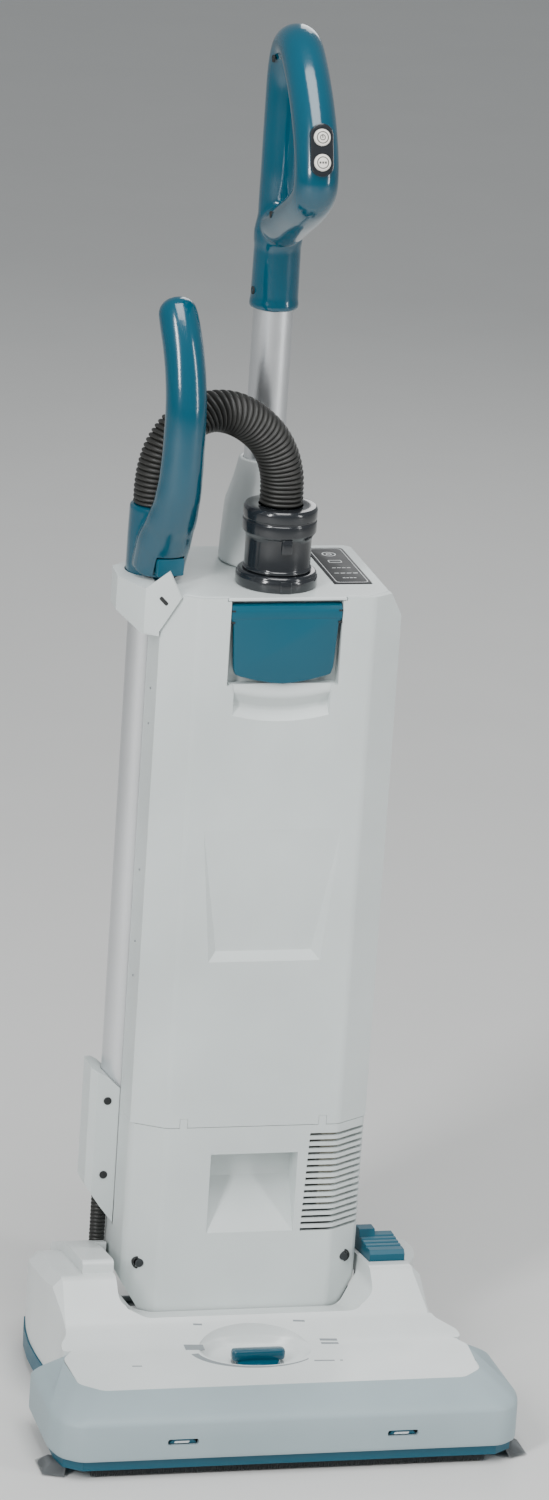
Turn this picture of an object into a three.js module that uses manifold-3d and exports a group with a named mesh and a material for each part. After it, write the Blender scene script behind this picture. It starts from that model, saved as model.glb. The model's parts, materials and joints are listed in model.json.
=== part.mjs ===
// Commercial upright vacuum cleaner, cordless, with an instant-use wand.
// Millimetres. +X is the user's right seen from the front, the front faces -Y, +Z is up, the floor is z = 0.
import * as THREE from 'three';
import { mergeVertices } from 'three/addons/utils/BufferGeometryUtils.js';
import Module from 'manifold-3d';

const wasm = await Module();
wasm.setup();

// ---------------------------------------------------------------- driving dimensions
const GAP = 0.3;
const BODY = { half: 107, front: 23.4, rear: 180, cutX: 29.3, cutY: 18.1, rearCut: 16 };
const LOWER = { bottom: 61.5, flatHalf: 88, cutTop: 92, top: 241.7 };
const SEAM = 242;
const DECK = 728;
const WALL = 3;
const DOOR = { thick: 4, bottom: 242.3, top: 727.7, pinY: 25, pinZ: 245 };
const LATCH = { half: 48.9, top: 722, bottom: 650, front: 22.6, back: 31, pinY: 33, pinZ: 706 };
const TILT = { y: 128, z: 78, pin: 8 };
const WAND = { x: -103, y: 104, tube: 17.5, turn: THREE.MathUtils.degToRad(10) };
const HANDLE = { y: 137, tube: 17.5, sleeve: 21.5, loopX: 19, loopN: 18, shell: 3 };
const PORT = { y: 69.1, hole: 24.7 };
const HOSE = { r: 19, cuffTop: 799 };
const ROLLER = { y: -122, z: 31, core: 17, tip: 25.5, half: 172 };
const WHEEL = { y: 122, r: 38, x0: 139, x1: 162, axle: 5 };
const WELL = { x0: 136.5, x1: 164.5, y: 80 };
const PEDAL = { x0: 114.4, x1: 146.6, y0: 20, y1: 80 };
const SPRING = { x: 131, y: 58 };
const SKIRT = 24;
const CASTOR = { y: -72, r: 12, x: 118, width: 14, axle: 2.5 };
const KNOB = { x: -9, y: -77, r: 23 };
const MOTOR = { x: 20, y: 115, r: 32, fan: 46 };
const BRUSH_MOTOR = { y: -60, z: 38, r: 17 };
const SCREW = { x: 93.5, z: 112, r: 3.8 };
const INLET = { low: 686, high: 727, r: 26.9 };
const LOUVRE = { count: 16, low: 141, pitch: 6, height: 2.8 };
const PANEL = { x0: 51, x1: 85, y0: 62, y1: 170 };
const DUCT = { x: -115.4, y: 106, r: 7 };
const BAR = { y: 10.8, z: 1124.5, lean: Math.atan2(13, 41) };
const FOOT_ROOM = 2.2;
const BATTERY = { low: 297.4, high: 440, y0: 127, y1: 174 };
// The wand's grip: distance ahead of the tube's axis, height, half width, half depth.
const GRIP = [
  [15, 737, 23, 22], [22, 757, 23.5, 22], [33, 777, 22, 19.5], [44, 797, 20, 18.2], [51, 822, 18.8, 17.5],
  [54, 855, 18.2, 17.2], [54, 888, 18, 17], [49, 915, 17.7, 17], [40, 939, 17.5, 17], [28, 960, 17.5, 16.6],
  [17, 975, 16.5, 15.5],
];
// The handle's loop as (y, z), and the top of the head cover as (y, z) from its front edge back.
const LOOP = [
  [136, 1035], [137, 1080], [137, 1130], [135.5, 1166], [125, 1188], [104, 1192.2], [80, 1178], [54, 1154],
  [34, 1127], [24, 1102], [27, 1083], [50, 1066], [86, 1048], [118, 1033],
];
const RAMP = [
  [-141, 20], [-141, 66], [-58, 69.3], [-30, 80], [2, 112], [6, 113.4], [60, 105.5], [96, 99.5],
  [120, 90.5], [140, 82], [140, 20],
];
// The cover's sides in plan: the right shoulder is slim in front of its wheel, the left one is not.
const RIGHT_SIDE = [
  [179.6, -59.7], [179.6, -50], [158, -30], [156.5, 5], [157, 40], [170, 68], [176.5, 96], [169, 140],
];
const LEFT_SIDE = [
  [-169, 140], [-177, 100], [-180, 70], [-180, 40], [-178, 5], [-172, -25], [-172, -38], [-179.6, -50],
  [-179.6, -59.7],
];
// The humps on the shoulders as (y, z): over the duct on the left and over the pivot on the right.
const HUMP_REAR = [[120, 98.5], [134, 93], [140, 87], [140, 79], [120, 87.5], [96, 96.5]];
const LEFT_HUMP = [[13, 109], [13, 120], [17, 123], [60, 116.5], [100, 107], ...HUMP_REAR, [60, 102]];
const RIGHT_HUMP = [[92, 97], [92, 99.5], [100, 103.5], ...HUMP_REAR];
// The arch of the stretch hose from its cuff on the deck to the wand's socket.
const HOSE_ROUTE = [
  [0, 69.1, 799.3], [0, 69.3, 812], [-1, 70, 826], [-5.5, 72, 842], [-14.5, 76, 857], [-28, 81, 868.5],
  [-43, 86.5, 875], [-59, 92, 875], [-74, 97, 868.5], [-86.5, 100.5, 857], [-96, 102.8, 841],
  [-101, 103.8, 824], [-103, 104, 807], [-103, 104, 790.4],
];
// The brush chamber in profile (y, z): its skin and the tunnel inside it.
const HOOD = [[-153, 12], [-153, 49], [-142, 59.7], [-111, 59.7], [-99.6, 51], [-92.6, 38.6], [-91, 12]];
const TUNNEL = [[-150.5, 0], [-150.5, 48], [-141, 57.3], [-112, 57.3], [-101.5, 49.5], [-95, 38], [-93.5, 0]];

// ---------------------------------------------------------------- finishes
const finish = (color, roughness, metalness = 0) =>
  new THREE.MeshStandardMaterial({ color, roughness, metalness });
const WHITE = finish(0xc8d0cf, 0.5);
const TEAL = finish(0x046f8c, 0.3);
const BUMPER = finish(0x9bacb1, 0.6);
const BLACK = finish(0x23262a, 0.3);
const RUBBER = finish(0x282826, 0.8);
const SILVER = finish(0xd0d2d4, 0.3, 0.9);
const STEEL = finish(0x8f9296, 0.35, 1);
const GREY = finish(0x55585c, 0.6);
const PAPER = finish(0xcfc8b6, 0.9);
const IVORY = finish(0xe9e6dc, 0.4);

// ---------------------------------------------------------------- solids from three.js geometry
function solid(geometry) {
  const flat = geometry.index ? geometry.toNonIndexed() : geometry;
  const bare = new THREE.BufferGeometry();
  bare.setAttribute('position', flat.getAttribute('position'));
  const merged = mergeVertices(bare, 1e-3);
  const index = merged.index.array;
  const triVerts = [];
  for (let i = 0; i < index.length; i += 3) {
    const [a, b, c] = [index[i], index[i + 1], index[i + 2]];
    if (a !== b && b !== c && c !== a) triVerts.push(a, b, c);
  }
  return new wasm.Manifold(new wasm.Mesh({
    numProp: 3,
    vertProperties: Float32Array.from(merged.attributes.position.array),
    triVerts: Uint32Array.from(triVerts),
  }));
}

function geometryOf(manifold) {
  const mesh = manifold.getMesh();
  const geometry = new THREE.BufferGeometry();
  geometry.setAttribute('position', new THREE.BufferAttribute(Float32Array.from(mesh.vertProperties), 3));
  geometry.setIndex(new THREE.BufferAttribute(Uint32Array.from(mesh.triVerts), 1));
  geometry.computeVertexNormals();
  return geometry;
}

// An outline pushed along one axis: (x, y) along z, (y, z) along x, or (x, z) along y.
function prism(axis, points, low, high) {
  const shape = new THREE.Shape(points.map(([a, b]) => new THREE.Vector2(a, b)));
  const geometry = new THREE.ExtrudeGeometry(shape, { depth: high - low, bevelEnabled: false });
  if (axis === 'z') geometry.translate(0, 0, low);
  if (axis === 'y') geometry.rotateX(Math.PI / 2).translate(0, high, 0);
  if (axis === 'x') {
    const turn = new THREE.Matrix4().set(0, 0, 1, low, 1, 0, 0, 0, 0, 1, 0, 0, 0, 0, 0, 1);
    geometry.applyMatrix4(turn);
  }
  return solid(geometry);
}

const box = (x0, x1, y0, y1, z0, z1) =>
  solid(new THREE.BoxGeometry(x1 - x0, y1 - y0, z1 - z0)
    .translate((x0 + x1) / 2, (y0 + y1) / 2, (z0 + z1) / 2));

function rod(axis, a, b, radius, low, high, sides = 16) {
  const geometry = new THREE.CylinderGeometry(radius, radius, high - low, sides);
  const middle = (low + high) / 2;
  if (axis === 'x') geometry.rotateZ(Math.PI / 2).translate(middle, a, b);
  if (axis === 'y') geometry.translate(a, middle, b);
  if (axis === 'z') geometry.rotateX(Math.PI / 2).translate(a, b, middle);
  return solid(geometry);
}

// A turned piece about a vertical axis at (x, y); its profile of [radius, z] pairs meets the axis or closes.
function turned(x, y, profile, sides = 24) {
  const points = profile.map(([r, z]) => new THREE.Vector2(r, z));
  if (profile[0][0] > 0) points.push(points[0].clone());
  const geometry = new THREE.LatheGeometry(points, sides).rotateX(Math.PI / 2).translate(x, y, 0);
  const made = solid(geometry);
  return made.volume() < 0 ? solid(flipped(geometry)) : made;
}

function flipped(geometry) {
  const flat = geometry.index ? geometry.toNonIndexed() : geometry.clone();
  const p = flat.getAttribute('position').array;
  for (let i = 0; i < p.length; i += 9) {
    for (let k = 0; k < 3; k += 1) {
      [p[i + 3 + k], p[i + 6 + k]] = [p[i + 6 + k], p[i + 3 + k]];
    }
  }
  return flat;
}

// A skin through rings of points with equal counts, with flat ends unless it closes on itself.
function loft(rings, closed = false) {
  const corners = [];
  const quad = (a, b, c, d) => corners.push(a, b, c, a, c, d);
  const n = rings[0].length;
  const last = closed ? rings.length : rings.length - 1;
  for (let i = 0; i < last; i += 1) {
    const here = rings[i];
    const next = rings[(i + 1) % rings.length];
    for (let k = 0; k < n; k += 1) quad(here[k], here[(k + 1) % n], next[(k + 1) % n], next[k]);
  }
  if (!closed) {
    const ends = [rings[0], rings[rings.length - 1]];
    ends.forEach((ring, end) => {
      const middle = ring.reduce((s, p) => s.add(p), new THREE.Vector3()).divideScalar(n);
      for (let k = 0; k < n; k += 1) {
        const pair = [ring[k], ring[(k + 1) % n]];
        if (end === 0) pair.reverse();
        corners.push(middle, pair[0], pair[1]);
      }
    });
  }
  const geometry = new THREE.BufferGeometry().setFromPoints(corners);
  const made = solid(geometry);
  return made.volume() < 0 ? solid(flipped(geometry)) : made;
}

const add = (...list) => list.reduce((a, b) => a.add(b));
const cut = (first, ...rest) => rest.reduce((a, b) => a.subtract(b), first);
const both = (...list) => list.reduce((a, b) => a.intersect(b));

const assembly = new THREE.Group();
function piece(name, shape, material) {
  const mesh = new THREE.Mesh(shape.isBufferGeometry ? shape : geometryOf(shape), material);
  mesh.name = name;
  assembly.add(mesh);
  return shape;
}

// ---------------------------------------------------------------- body outline in plan
function bodyPlan(inset) {
  const half = BODY.half - inset;
  const front = BODY.front + inset;
  const rear = BODY.rear - inset;
  return [
    [-half, front + BODY.cutY], [-half + BODY.cutX, front],
    [half - BODY.cutX, front], [half, front + BODY.cutY],
    [half, rear - BODY.rearCut], [half - BODY.rearCut, rear],
    [-half + BODY.rearCut, rear], [-half, rear - BODY.rearCut],
  ];
}
const bodyBlock = (inset, low, high) => prism('z', bodyPlan(inset), low, high);
const DOOR_EDGE = BODY.front + BODY.cutY;
const niche = (radius, low, high) => rod('z', WAND.x, WAND.y, radius, low, high, 24);
const NICHE = WAND.tube + 3.7;

// ---------------------------------------------------------------- lower housing
const screwHole = (side) => rod('y', side * SCREW.x, SCREW.z, SCREW.r + 0.4, 20, 60, 16);
function lowerHousing() {
  const faceShape = (grow, low) => [
    [-LOWER.flatHalf + grow, low], [LOWER.flatHalf - grow, low],
    [BODY.half - grow, LOWER.cutTop + grow * 0.4], [BODY.half - grow, 260],
    [-BODY.half + grow, 260], [-BODY.half + grow, LOWER.cutTop + grow * 0.4],
  ];
  const sideShape = (grow, low) => [
    [20 - grow, low], [148 - grow, low], [180 - grow, 112 + grow], [180 - grow, 260], [20 - grow, 260],
  ];
  const outer = both(
    bodyBlock(0, 50, LOWER.top),
    prism('y', faceShape(0, LOWER.bottom), 0, 200),
    prism('x', sideShape(0, LOWER.bottom), -120, 120),
  );
  const inner = both(
    bodyBlock(WALL, 50, 260),
    prism('y', faceShape(WALL, LOWER.bottom + WALL), 0, 200),
    prism('x', sideShape(WALL, LOWER.bottom + WALL), -120, 120),
  );
  const nicheWall = both(outer, niche(NICHE + WALL, 125, LOWER.top));
  // the finger pocket in the front: a deep top that slopes out to the face at its foot
  const pocketX = [-36.5, 42.5];
  const pocket = prism('x', [[15, 217], [50, 214], [50, 186], [24, 142], [15, 142]], ...pocketX);
  const pocketWall = prism(
    'x', [[25, 221], [54, 218], [54, 184], [30, 138.5], [25, 138.5]], pocketX[0] - WALL, pocketX[1] + WALL);
  let shell = add(cut(outer, inner), nicheWall, pocketWall);
  shell = cut(shell, niche(NICHE, 128, 260), pocket);
  shell = cut(shell, rod('x', TILT.y, TILT.z, TILT.pin + GAP, -120, 120));
  shell = cut(shell, screwHole(-1), screwHole(1));
  for (let i = 0; i < LOUVRE.count; i += 1) {
    const z = LOUVRE.low + i * LOUVRE.pitch;
    shell = cut(shell, box(49 + i * 0.24, 120, 15, 62, z, z + LOUVRE.height));
  }
  return shell;
}

// ---------------------------------------------------------------- rear housing: back, sides and bag chamber
function rearHousing() {
  const top = DECK - 28 - GAP;
  const frontZone = box(-120, 120, 0, DOOR_EDGE + GAP, 200, 800);
  const outer = cut(bodyBlock(0, SEAM, top), frontZone);
  const shell = cut(outer, bodyBlock(WALL, SEAM + 4, 760));
  const nicheWall = both(outer, niche(NICHE + WALL, SEAM, top));
  const floor = cut(
    bodyBlock(DOOR.thick + 1.6, SEAM, SEAM + 4), box(-120, 120, 0, DOOR.pinY + 4.2, 200, 300));
  const divider = box(-BODY.half + 1, BODY.half - 1, 121.5, 124, SEAM, top);
  const shelf = box(-67, 67, 124, 178, 294, 297);
  let made = add(shell, nicheWall, floor, divider, shelf);
  made = cut(made, niche(NICHE, 200, 760), box(-70, 70, 170, 190, 290, 480));
  made = cut(made, rod('z', MOTOR.x, MOTOR.y, 28, SEAM - 1, SEAM + 5, 20));
  for (const side of [-1, 1]) {
    const [x0, x1] = side < 0 ? [-66, -60] : [60, 66];
    made = add(made, box(x0, x1, DOOR.pinY - 1.4, 32, SEAM, SEAM + 6));
  }
  return cut(made, rod('x', DOOR.pinY, DOOR.pinZ, 1.4, -90, 90, 16));
}

// ---------------------------------------------------------------- deck
// The deck's right edge is cut back at a slope, from front to rear.
const shoulder = (inset) => prism('y', [
  [BODY.half - inset, DECK - 22], [BODY.half - 12 - inset, DECK], [BODY.half - 12 - inset, DECK + 40],
  [140, DECK + 40], [140, DECK - 22],
], -10, 210);

function topDeck() {
  const low = DECK - 28;
  const plan = add(
    bodyBlock(DOOR.thick + 0.4, low, DECK),
    cut(bodyBlock(0, low, DECK), box(-120, 120, 0, DOOR_EDGE + GAP, 600, 800)),
  );
  const overLatch = box(-52.5, 52.5, BODY.front + 0.4, 46, DECK - 2.6, DECK);
  let made = cut(plan, cut(bodyBlock(7.5, low - 10, DECK - 3.2), shoulder(9)), shoulder(0));
  made = cut(made, box(-53.5, 53.5, 20, 40.4, low - 10, DECK - 2.9));
  made = add(made, overLatch, box(-56, 56, 40.4, 43.4, low + 0.4, DECK - 2));
  made = cut(made, box(-18, 18, 38, 50, 701.5, 716));
  made = add(made, turned(0, PORT.y, [
    [PORT.hole, INLET.low], [INLET.r, INLET.low], [INLET.r, INLET.high], [PORT.hole, INLET.high],
  ]));
  made = cut(made, rod('z', 0, PORT.y, PORT.hole, 660, 760, 24));
  made = cut(made, rod('z', 0, HANDLE.y, HANDLE.tube + GAP, 660, 760, 28));
  made = cut(made, niche(NICHE + 2.5, 660, 760));
  return cut(made, box(PANEL.x0 - GAP, PANEL.x1 + GAP, PANEL.y0 - GAP, PANEL.y1 + GAP, DECK - 1.9, 760));
}

// ---------------------------------------------------------------- bag door and its latch
function bagDoor() {
  const { thick, bottom, top } = DOOR;
  const band = cut(
    bodyBlock(0, bottom, top), bodyBlock(thick, 200, 800), box(-120, 120, DOOR_EDGE, 200, 0, 800));
  const at = (y, list) => list.map(([x, z]) => new THREE.Vector3(x, y, z));
  const scoop = loft([
    at(22, [[-64, 521], [-51, 385], [51, 385], [64, 521]]),
    at(29, [[-53, 505], [-43, 405], [43, 405], [53, 505]]),
  ]);
  const slant = prism('x', [[15, 540], [23.4, 520], [29.2, 405], [15, 384]], -90, 90);
  const recess = both(scoop, slant);
  const recessBack = box(-67, 67, 26, 32.5, 379, 526);
  const pocketBack = box(-52.9, 52.9, 26, 40, 612, 724.8);
  const pocket = box(-LATCH.half - 0.7, LATCH.half + 0.7, 10, 36, LATCH.bottom - 1, 740);
  const overhang = box(-53.3, 53.3, 10, 30, DECK - 3.2, 740);
  const scoopZ = 622;
  const fingers = prism(
    'x', [[15, scoopZ], [24, scoopZ + 4], [35, scoopZ + 22], [35, 655], [15, 655]], -45, 45);
  let made = cut(add(band, recessBack, pocketBack), shoulder(0));
  made = cut(made, recess, pocket, overhang, fingers, box(-17, 17, 34, 44, 701, 713));
  made = cut(made, box(-66.6, -59.4, 15, 40, 240, 250.6), box(59.4, 66.6, 15, 40, 240, 250.6));
  return cut(made, rod('x', DOOR.pinY, DOOR.pinZ, 1.4, -72.4, 72.4, 16));
}

function doorLatch() {
  const { half, top, bottom, front, back } = LATCH;
  const face = new THREE.Shape();
  face.moveTo(-half, top);
  face.lineTo(-half, top - 14);
  face.lineTo(-44, bottom + 12);
  face.quadraticCurveTo(-43, bottom + 5, -30, bottom + 3);
  face.quadraticCurveTo(0, bottom - 2.5, 30, bottom + 3);
  face.quadraticCurveTo(43, bottom + 5, 44, bottom + 12);
  face.lineTo(half, top - 14);
  face.lineTo(half, top);
  const plate = new THREE.ExtrudeGeometry(
    face, { depth: back - front, bevelEnabled: false, curveSegments: 5 })
    .rotateX(Math.PI / 2).translate(0, back, 0);
  const tongue = box(-15, 15, back - 1, 41.8, 704.5, 708);
  return add(solid(plate), tongue);
}

// ---------------------------------------------------------------- inside the body
function exhaustFilter() {
  const pleats = [[102, 66]];
  for (let i = 0; i <= 12; i += 1) pleats.push([i % 2 ? 92 : 101, 68 + i * 6]);
  pleats.push([102, 146], [74, 146], [74, 66]);
  return prism('z', pleats, 146, 232);
}

function impeller() {
  let made = turned(
    MOTOR.x, MOTOR.y, [[4.3, 196], [40, 196], [40, 198], [10, 203], [9, 214], [4.3, 214]], 28);
  for (let i = 0; i < 7; i += 1) {
    const blade = solid(new THREE.BoxGeometry(28, 2, 12).translate(24, 0, 203));
    made = add(made, blade.rotate([0, 0, (i * 360) / 7]).translate([MOTOR.x, MOTOR.y, 0]));
  }
  return made;
}

function dustBag() {
  const ring = (z, hx, hy) => {
    const points = [];
    for (let k = 0; k < 16; k += 1) {
      const t = (k / 16) * 2 * Math.PI;
      const squircle = (v) => Math.sign(v) * Math.abs(v) ** 0.55;
      points.push(new THREE.Vector3(squircle(Math.cos(t)) * hx, 80 + squircle(Math.sin(t)) * hy, z));
    }
    return points;
  };
  return loft([
    ring(292, 50, 22), ring(305, 66, 31), ring(360, 72, 35), ring(520, 72, 35),
    ring(600, 70, 33), ring(645, 58, 26), ring(660, 34, 18),
  ]);
}

// ---------------------------------------------------------------- hose, wand and cup
const bowDirection = new THREE.Vector3(Math.sin(WAND.turn), -Math.cos(WAND.turn), 0);
const acrossBow = new THREE.Vector3(Math.cos(WAND.turn), Math.sin(WAND.turn), 0);
const wandPoint = (d, z) => new THREE.Vector3(WAND.x, WAND.y, z).addScaledVector(bowDirection, d);

function ovalAt(centre, across, along, radiusA, radiusB, sides) {
  const ring = [];
  for (let k = 0; k < sides; k += 1) {
    const t = (k / sides) * 2 * Math.PI;
    ring.push(centre.clone()
      .addScaledVector(across, Math.cos(t) * radiusA)
      .addScaledVector(along, Math.sin(t) * radiusB));
  }
  return ring;
}


function grip() {
  const path = new THREE.CatmullRomCurve3(GRIP.map(([d, z]) => wandPoint(d, z)));
  const steps = 14;
  const rings = [];
  for (let i = 0; i <= steps; i += 1) {
    const u = i / steps;
    const tangent = path.getTangent(u);
    const along = new THREE.Vector3().crossVectors(tangent, acrossBow).normalize();
    const at = u * (GRIP.length - 1);
    const k = Math.min(Math.floor(at), GRIP.length - 2);
    const mix = (column) => THREE.MathUtils.lerp(GRIP[k][column], GRIP[k + 1][column], at - k);
    rings.push(ovalAt(path.getPoint(u), acrossBow, along, mix(2), mix(3), 12));
  }
  return loft(rings);
}

function wandHandle() {
  const base = turned(
    WAND.x, WAND.y, [[0, 700], [21.6, 700], [22.4, 732], [22.4, 760], [21.6, 790], [0, 790]], 28);
  const seat = wandPoint(40, 744.5);
  const recess = solid(
    new THREE.BoxGeometry(26, 14, 17.5).rotateZ(WAND.turn).translate(seat.x, seat.y, seat.z));
  return cut(add(base, grip()), rod('z', WAND.x, WAND.y, 18.1, 690, 790.5, 28), recess, rimRoom());
}
// room for the cup's rim under the grip's root
const rimRoom = () =>
  cut(box(-170, -40, 20, 160, 690, 733.6), rod('z', WAND.x, WAND.y, 22.4, 680, 740, 28));

function wandButton() {
  const seat = wandPoint(40, 744.5);
  return solid(new THREE.BoxGeometry(25.2, 7, 16.7).rotateZ(WAND.turn).translate(seat.x, seat.y, seat.z));
}

// The cup hangs on the body's front left corner: a plate with an ear lies on the corner face.
const CORNER_TURN = Math.atan2(BODY.cutY, -BODY.cutX);
function cornerPlate(points, low, high) {
  return prism('y', points, low, high)
    .rotate([0, 0, THREE.MathUtils.radToDeg(CORNER_TURN)])
    .translate([-BODY.half + BODY.cutX, BODY.front, 0]);
}

function wandCup() {
  const ear = cornerPlate([[15.6, 727], [28.2, 749], [48.3, 731], [48.3, 691], [36, 691.5]], 0.5, 3.4);
  const side = -BODY.half - 0.5;
  const block = prism('z', [
    [-120.5, 46.2], [-137, 84], [-134.5, 116], [-121, 128], [side, 128], [side, 42.2], [side - 1, 38.6],
  ], 690, 730.5);
  return cut(
    add(block, ear),
    rod('z', WAND.x, WAND.y, 23.1, 694, 760, 28),
    rod('z', WAND.x, WAND.y, WAND.tube + 0.6, 600, 760, 28),
    prism('y', [[-140, 689], [-140, 703], [-121, 689]], 30, 130),
  );
}

function wandBracket() {
  const side = -BODY.half - 0.5;
  const plan = prism('z', [
    [side, 83.5], [-128, 85], [-133, 92], [-133, 120], [-126, 130], [side, 130],
  ], 124, 276);
  const face = prism('y', [
    [-134, 276], [-120, 269], [side, 258], [side, 130], [-120, 146], [-134, 166],
  ], 70, 140);
  return cut(both(plan, face), rod('z', WAND.x, WAND.y, WAND.tube + 0.6, 149.7, 300, 28),
    rod('z', DUCT.x, DUCT.y, DUCT.r + 0.4, 100, 149.6));
}

function alongPath(points, radius, steps, sides) {
  const path = new THREE.CatmullRomCurve3(points.map((p) => new THREE.Vector3(...p)));
  const section = new THREE.Shape();
  for (let k = 0; k < sides; k += 1) {
    const t = (k / sides) * 2 * Math.PI;
    if (k) section.lineTo(radius * Math.cos(t), radius * Math.sin(t));
    else section.moveTo(radius, 0);
  }
  const geometry = new THREE.ExtrudeGeometry(section, { steps, extrudePath: path, bevelEnabled: false });
  const made = solid(geometry);
  return made.volume() < 0 ? solid(flipped(geometry)) : made;
}

const DUCT_ROUTE = [149, 132, 115, 99, 84].map((z) => [DUCT.x, DUCT.y, z]);

// ---------------------------------------------------------------- handle

function loopRings(shrink) {
  const path = new THREE.CatmullRomCurve3(LOOP.map(([y, z]) => new THREE.Vector3(0, y, z)), true);
  const rings = [];
  const steps = 24;
  const across = new THREE.Vector3(1, 0, 0);
  for (let i = 0; i < steps; i += 1) {
    const tangent = path.getTangent(i / steps);
    const along = new THREE.Vector3().crossVectors(tangent, across).normalize();
    const [wide, deep] = [HANDLE.loopX - shrink, HANDLE.loopN - shrink];
    rings.push(ovalAt(path.getPoint(i / steps), across, along, wide, deep, 12));
  }
  return rings;
}

// A frame on the front bar: right, up the bar, and out of it.
function onBar(shape) {
  return shape.rotate([-THREE.MathUtils.radToDeg(BAR.lean), 0, 0]).translate([0, BAR.y, BAR.z]);
}
function pill(halfWidth, halfLength, low, high) {
  const outline = [];
  for (let k = 0; k <= 20; k += 1) {
    const t = (k / 20) * 2 * Math.PI;
    const up = k < 10 ? 1 : -1;
    outline.push([halfWidth * Math.cos(t), halfWidth * Math.sin(t) + up * (halfLength - halfWidth)]);
  }
  return onBar(prism('y', outline, low, high));
}

function handleShell(side) {
  const sleeve = rod('z', 0, HANDLE.y, HANDLE.sleeve, 956, 1024, 32);
  const outer = add(sleeve, loft(loopRings(0), true), rod('z', 0, HANDLE.y - 6, 18, 1010, 1040, 24));
  const inner = add(
    loft(loopRings(HANDLE.shell), true), rod('z', 0, HANDLE.y, HANDLE.tube + 0.3, 900, 1024, 28));
  const half = side < 0 ? box(-60, -0.15, -40, 220, 900, 1300) : box(0.15, 60, -40, 220, 900, 1300);
  return both(cut(outer, inner, pill(10.2, 22.8, -3, 9)), half);
}

function controlPanel() {
  const plate = pill(9.8, 22.4, -1.2, 7);
  const wells = [1, -1].map((up) => onBar(rod('y', 0, up * 10.6, 8.1, -4, 4, 24)));
  return cut(plate, ...wells);
}
const panelButton = (up) => onBar(rod('y', 0, up * 10.6, 7.8, -2.4, 2.2, 24));

// ---------------------------------------------------------------- floor head
const mirrored = (points) => [...points, ...points.slice().reverse().map(([x, y]) => [-x, y])];
const COVER_PLAN = mirrored([[161, -141], [179.5, -124], [182, -73], [173, -59]]);
const BUMPER_PLAN = mirrored([[187.7, -180], [203, -168], [209.3, -145], [207.5, -60]]);
// An outline moved outwards by d, except its open rear end, which runs on past the edge.
const grown = (plan, d, rear = d) =>
  plan.map(([x, y]) => [x + Math.sign(x) * d, y < -100 ? y - d : y + rear]);
const lift = (plan, z) => plan.map(([x, y]) => new THREE.Vector3(x, y, z));

// The hollow in the cover for the body's foot: its floor runs down from a ridge, and its left wall stands
// well off the body as far back as the duct; drop lowers it to make its skin.
function valley(drop) {
  const ring = (y, floor, left) => [
    [-98, floor - drop], [91, floor - drop], [110 + drop, 96], [110 + drop, 140],
    [-left - drop, 140], [-left - drop, 96],
  ].map(([x, z]) => new THREE.Vector3(x, y, z));
  const stretch = (...rings) => {
    const made = loft(rings);
    return made.volume() < 0 ? loft(rings.reverse()) : made;
  };
  return add(
    stretch(ring(-26, 84, 121), ring(24, 68.5, 121), ring(88, 68.5, 121)),
    stretch(ring(60, 68.5, 110), ring(210, 68.5, 110)));
}

// The cover's sides moved outwards by d.
const sides = (d) => [...RIGHT_SIDE, ...LEFT_SIDE].map(([x, y]) => [x + Math.sign(x) * d, y]);

function headCover() {
  const plan = add(prism('z', COVER_PLAN, 0, 200), prism('z', sides(0), 0, 200));
  const outer = both(plan, prism('x', RAMP, -200, 200));
  const under = RAMP.map(([y, z]) => [y < 30 ? y + 3 : y - 3, z - 3.5]);
  const innerSides = sides(-3.5).map(([x, y]) => [x, y < -59 ? -70 : y > 139 ? 150 : y]);
  const innerPlan = add(prism('z', grown(COVER_PLAN, -4), 0, 200), prism('z', innerSides, 0, 200));
  const inner = cut(both(innerPlan, prism('x', under, -200, 200)), valley(3.5));
  let made = add(cut(outer, inner), prism('x', LEFT_HUMP, -149, -110.5), prism('x', RIGHT_HUMP, 110.4, 126));
  const innerWall = (x) => both(outer, box(x, x + 3, 22, 140, 50, 200));
  made = add(made, innerWall(-113.4), innerWall(110.4));
  made = cut(made, valley(0));
  made = cut(made, bodyBlock(-FOOT_ROOM, 0, 200), box(-110, 110, 60, 160, 0, 200));
  made = cut(made, box(-200, 200, -150, -86, 0, 60.5), box(-200, 200, 126, 160, 0, 78));
  made = cut(made, box(113.6, 121.2, 100, 160, 0, 91.5), box(-121.2, -113.6, 100, 160, 0, 91.5));
  const bowlRing = (z, a, b) => ovalAt(
    new THREE.Vector3(-12, -70, z), new THREE.Vector3(1, 0, 0), new THREE.Vector3(0, 1, 0), a, b, 20);
  made = add(made, both(outer, loft([bowlRing(50, 36, 24), bowlRing(66, 62, 40), bowlRing(95, 64, 42)])));
  made = cut(made, loft([
    bowlRing(60.6, 38, 32), bowlRing(63, 42, 33.5), bowlRing(74, 60, 37), bowlRing(95, 60, 37.5),
  ]));
  made = cut(made, rod('z', KNOB.x, KNOB.y, 6, 30, 80, 20));
  made = cut(made, box(PEDAL.x0 - 0.6, PEDAL.x1 + 0.6, PEDAL.y0 - 0.6, PEDAL.y1 + 0.6, 90, 130));
  made = cut(made, rod('x', TILT.y, TILT.z, TILT.pin + GAP, -124.6, 124.6));
  made = cut(made, rod('z', DUCT.x, DUCT.y, DUCT.r + 0.8, 60, 130));
  return both(made, add(
    box(-300, 300, -300, -57.6, 47.6, 300), box(-300, 300, -57.7, 300, SKIRT + GAP, 300)));
}

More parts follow.
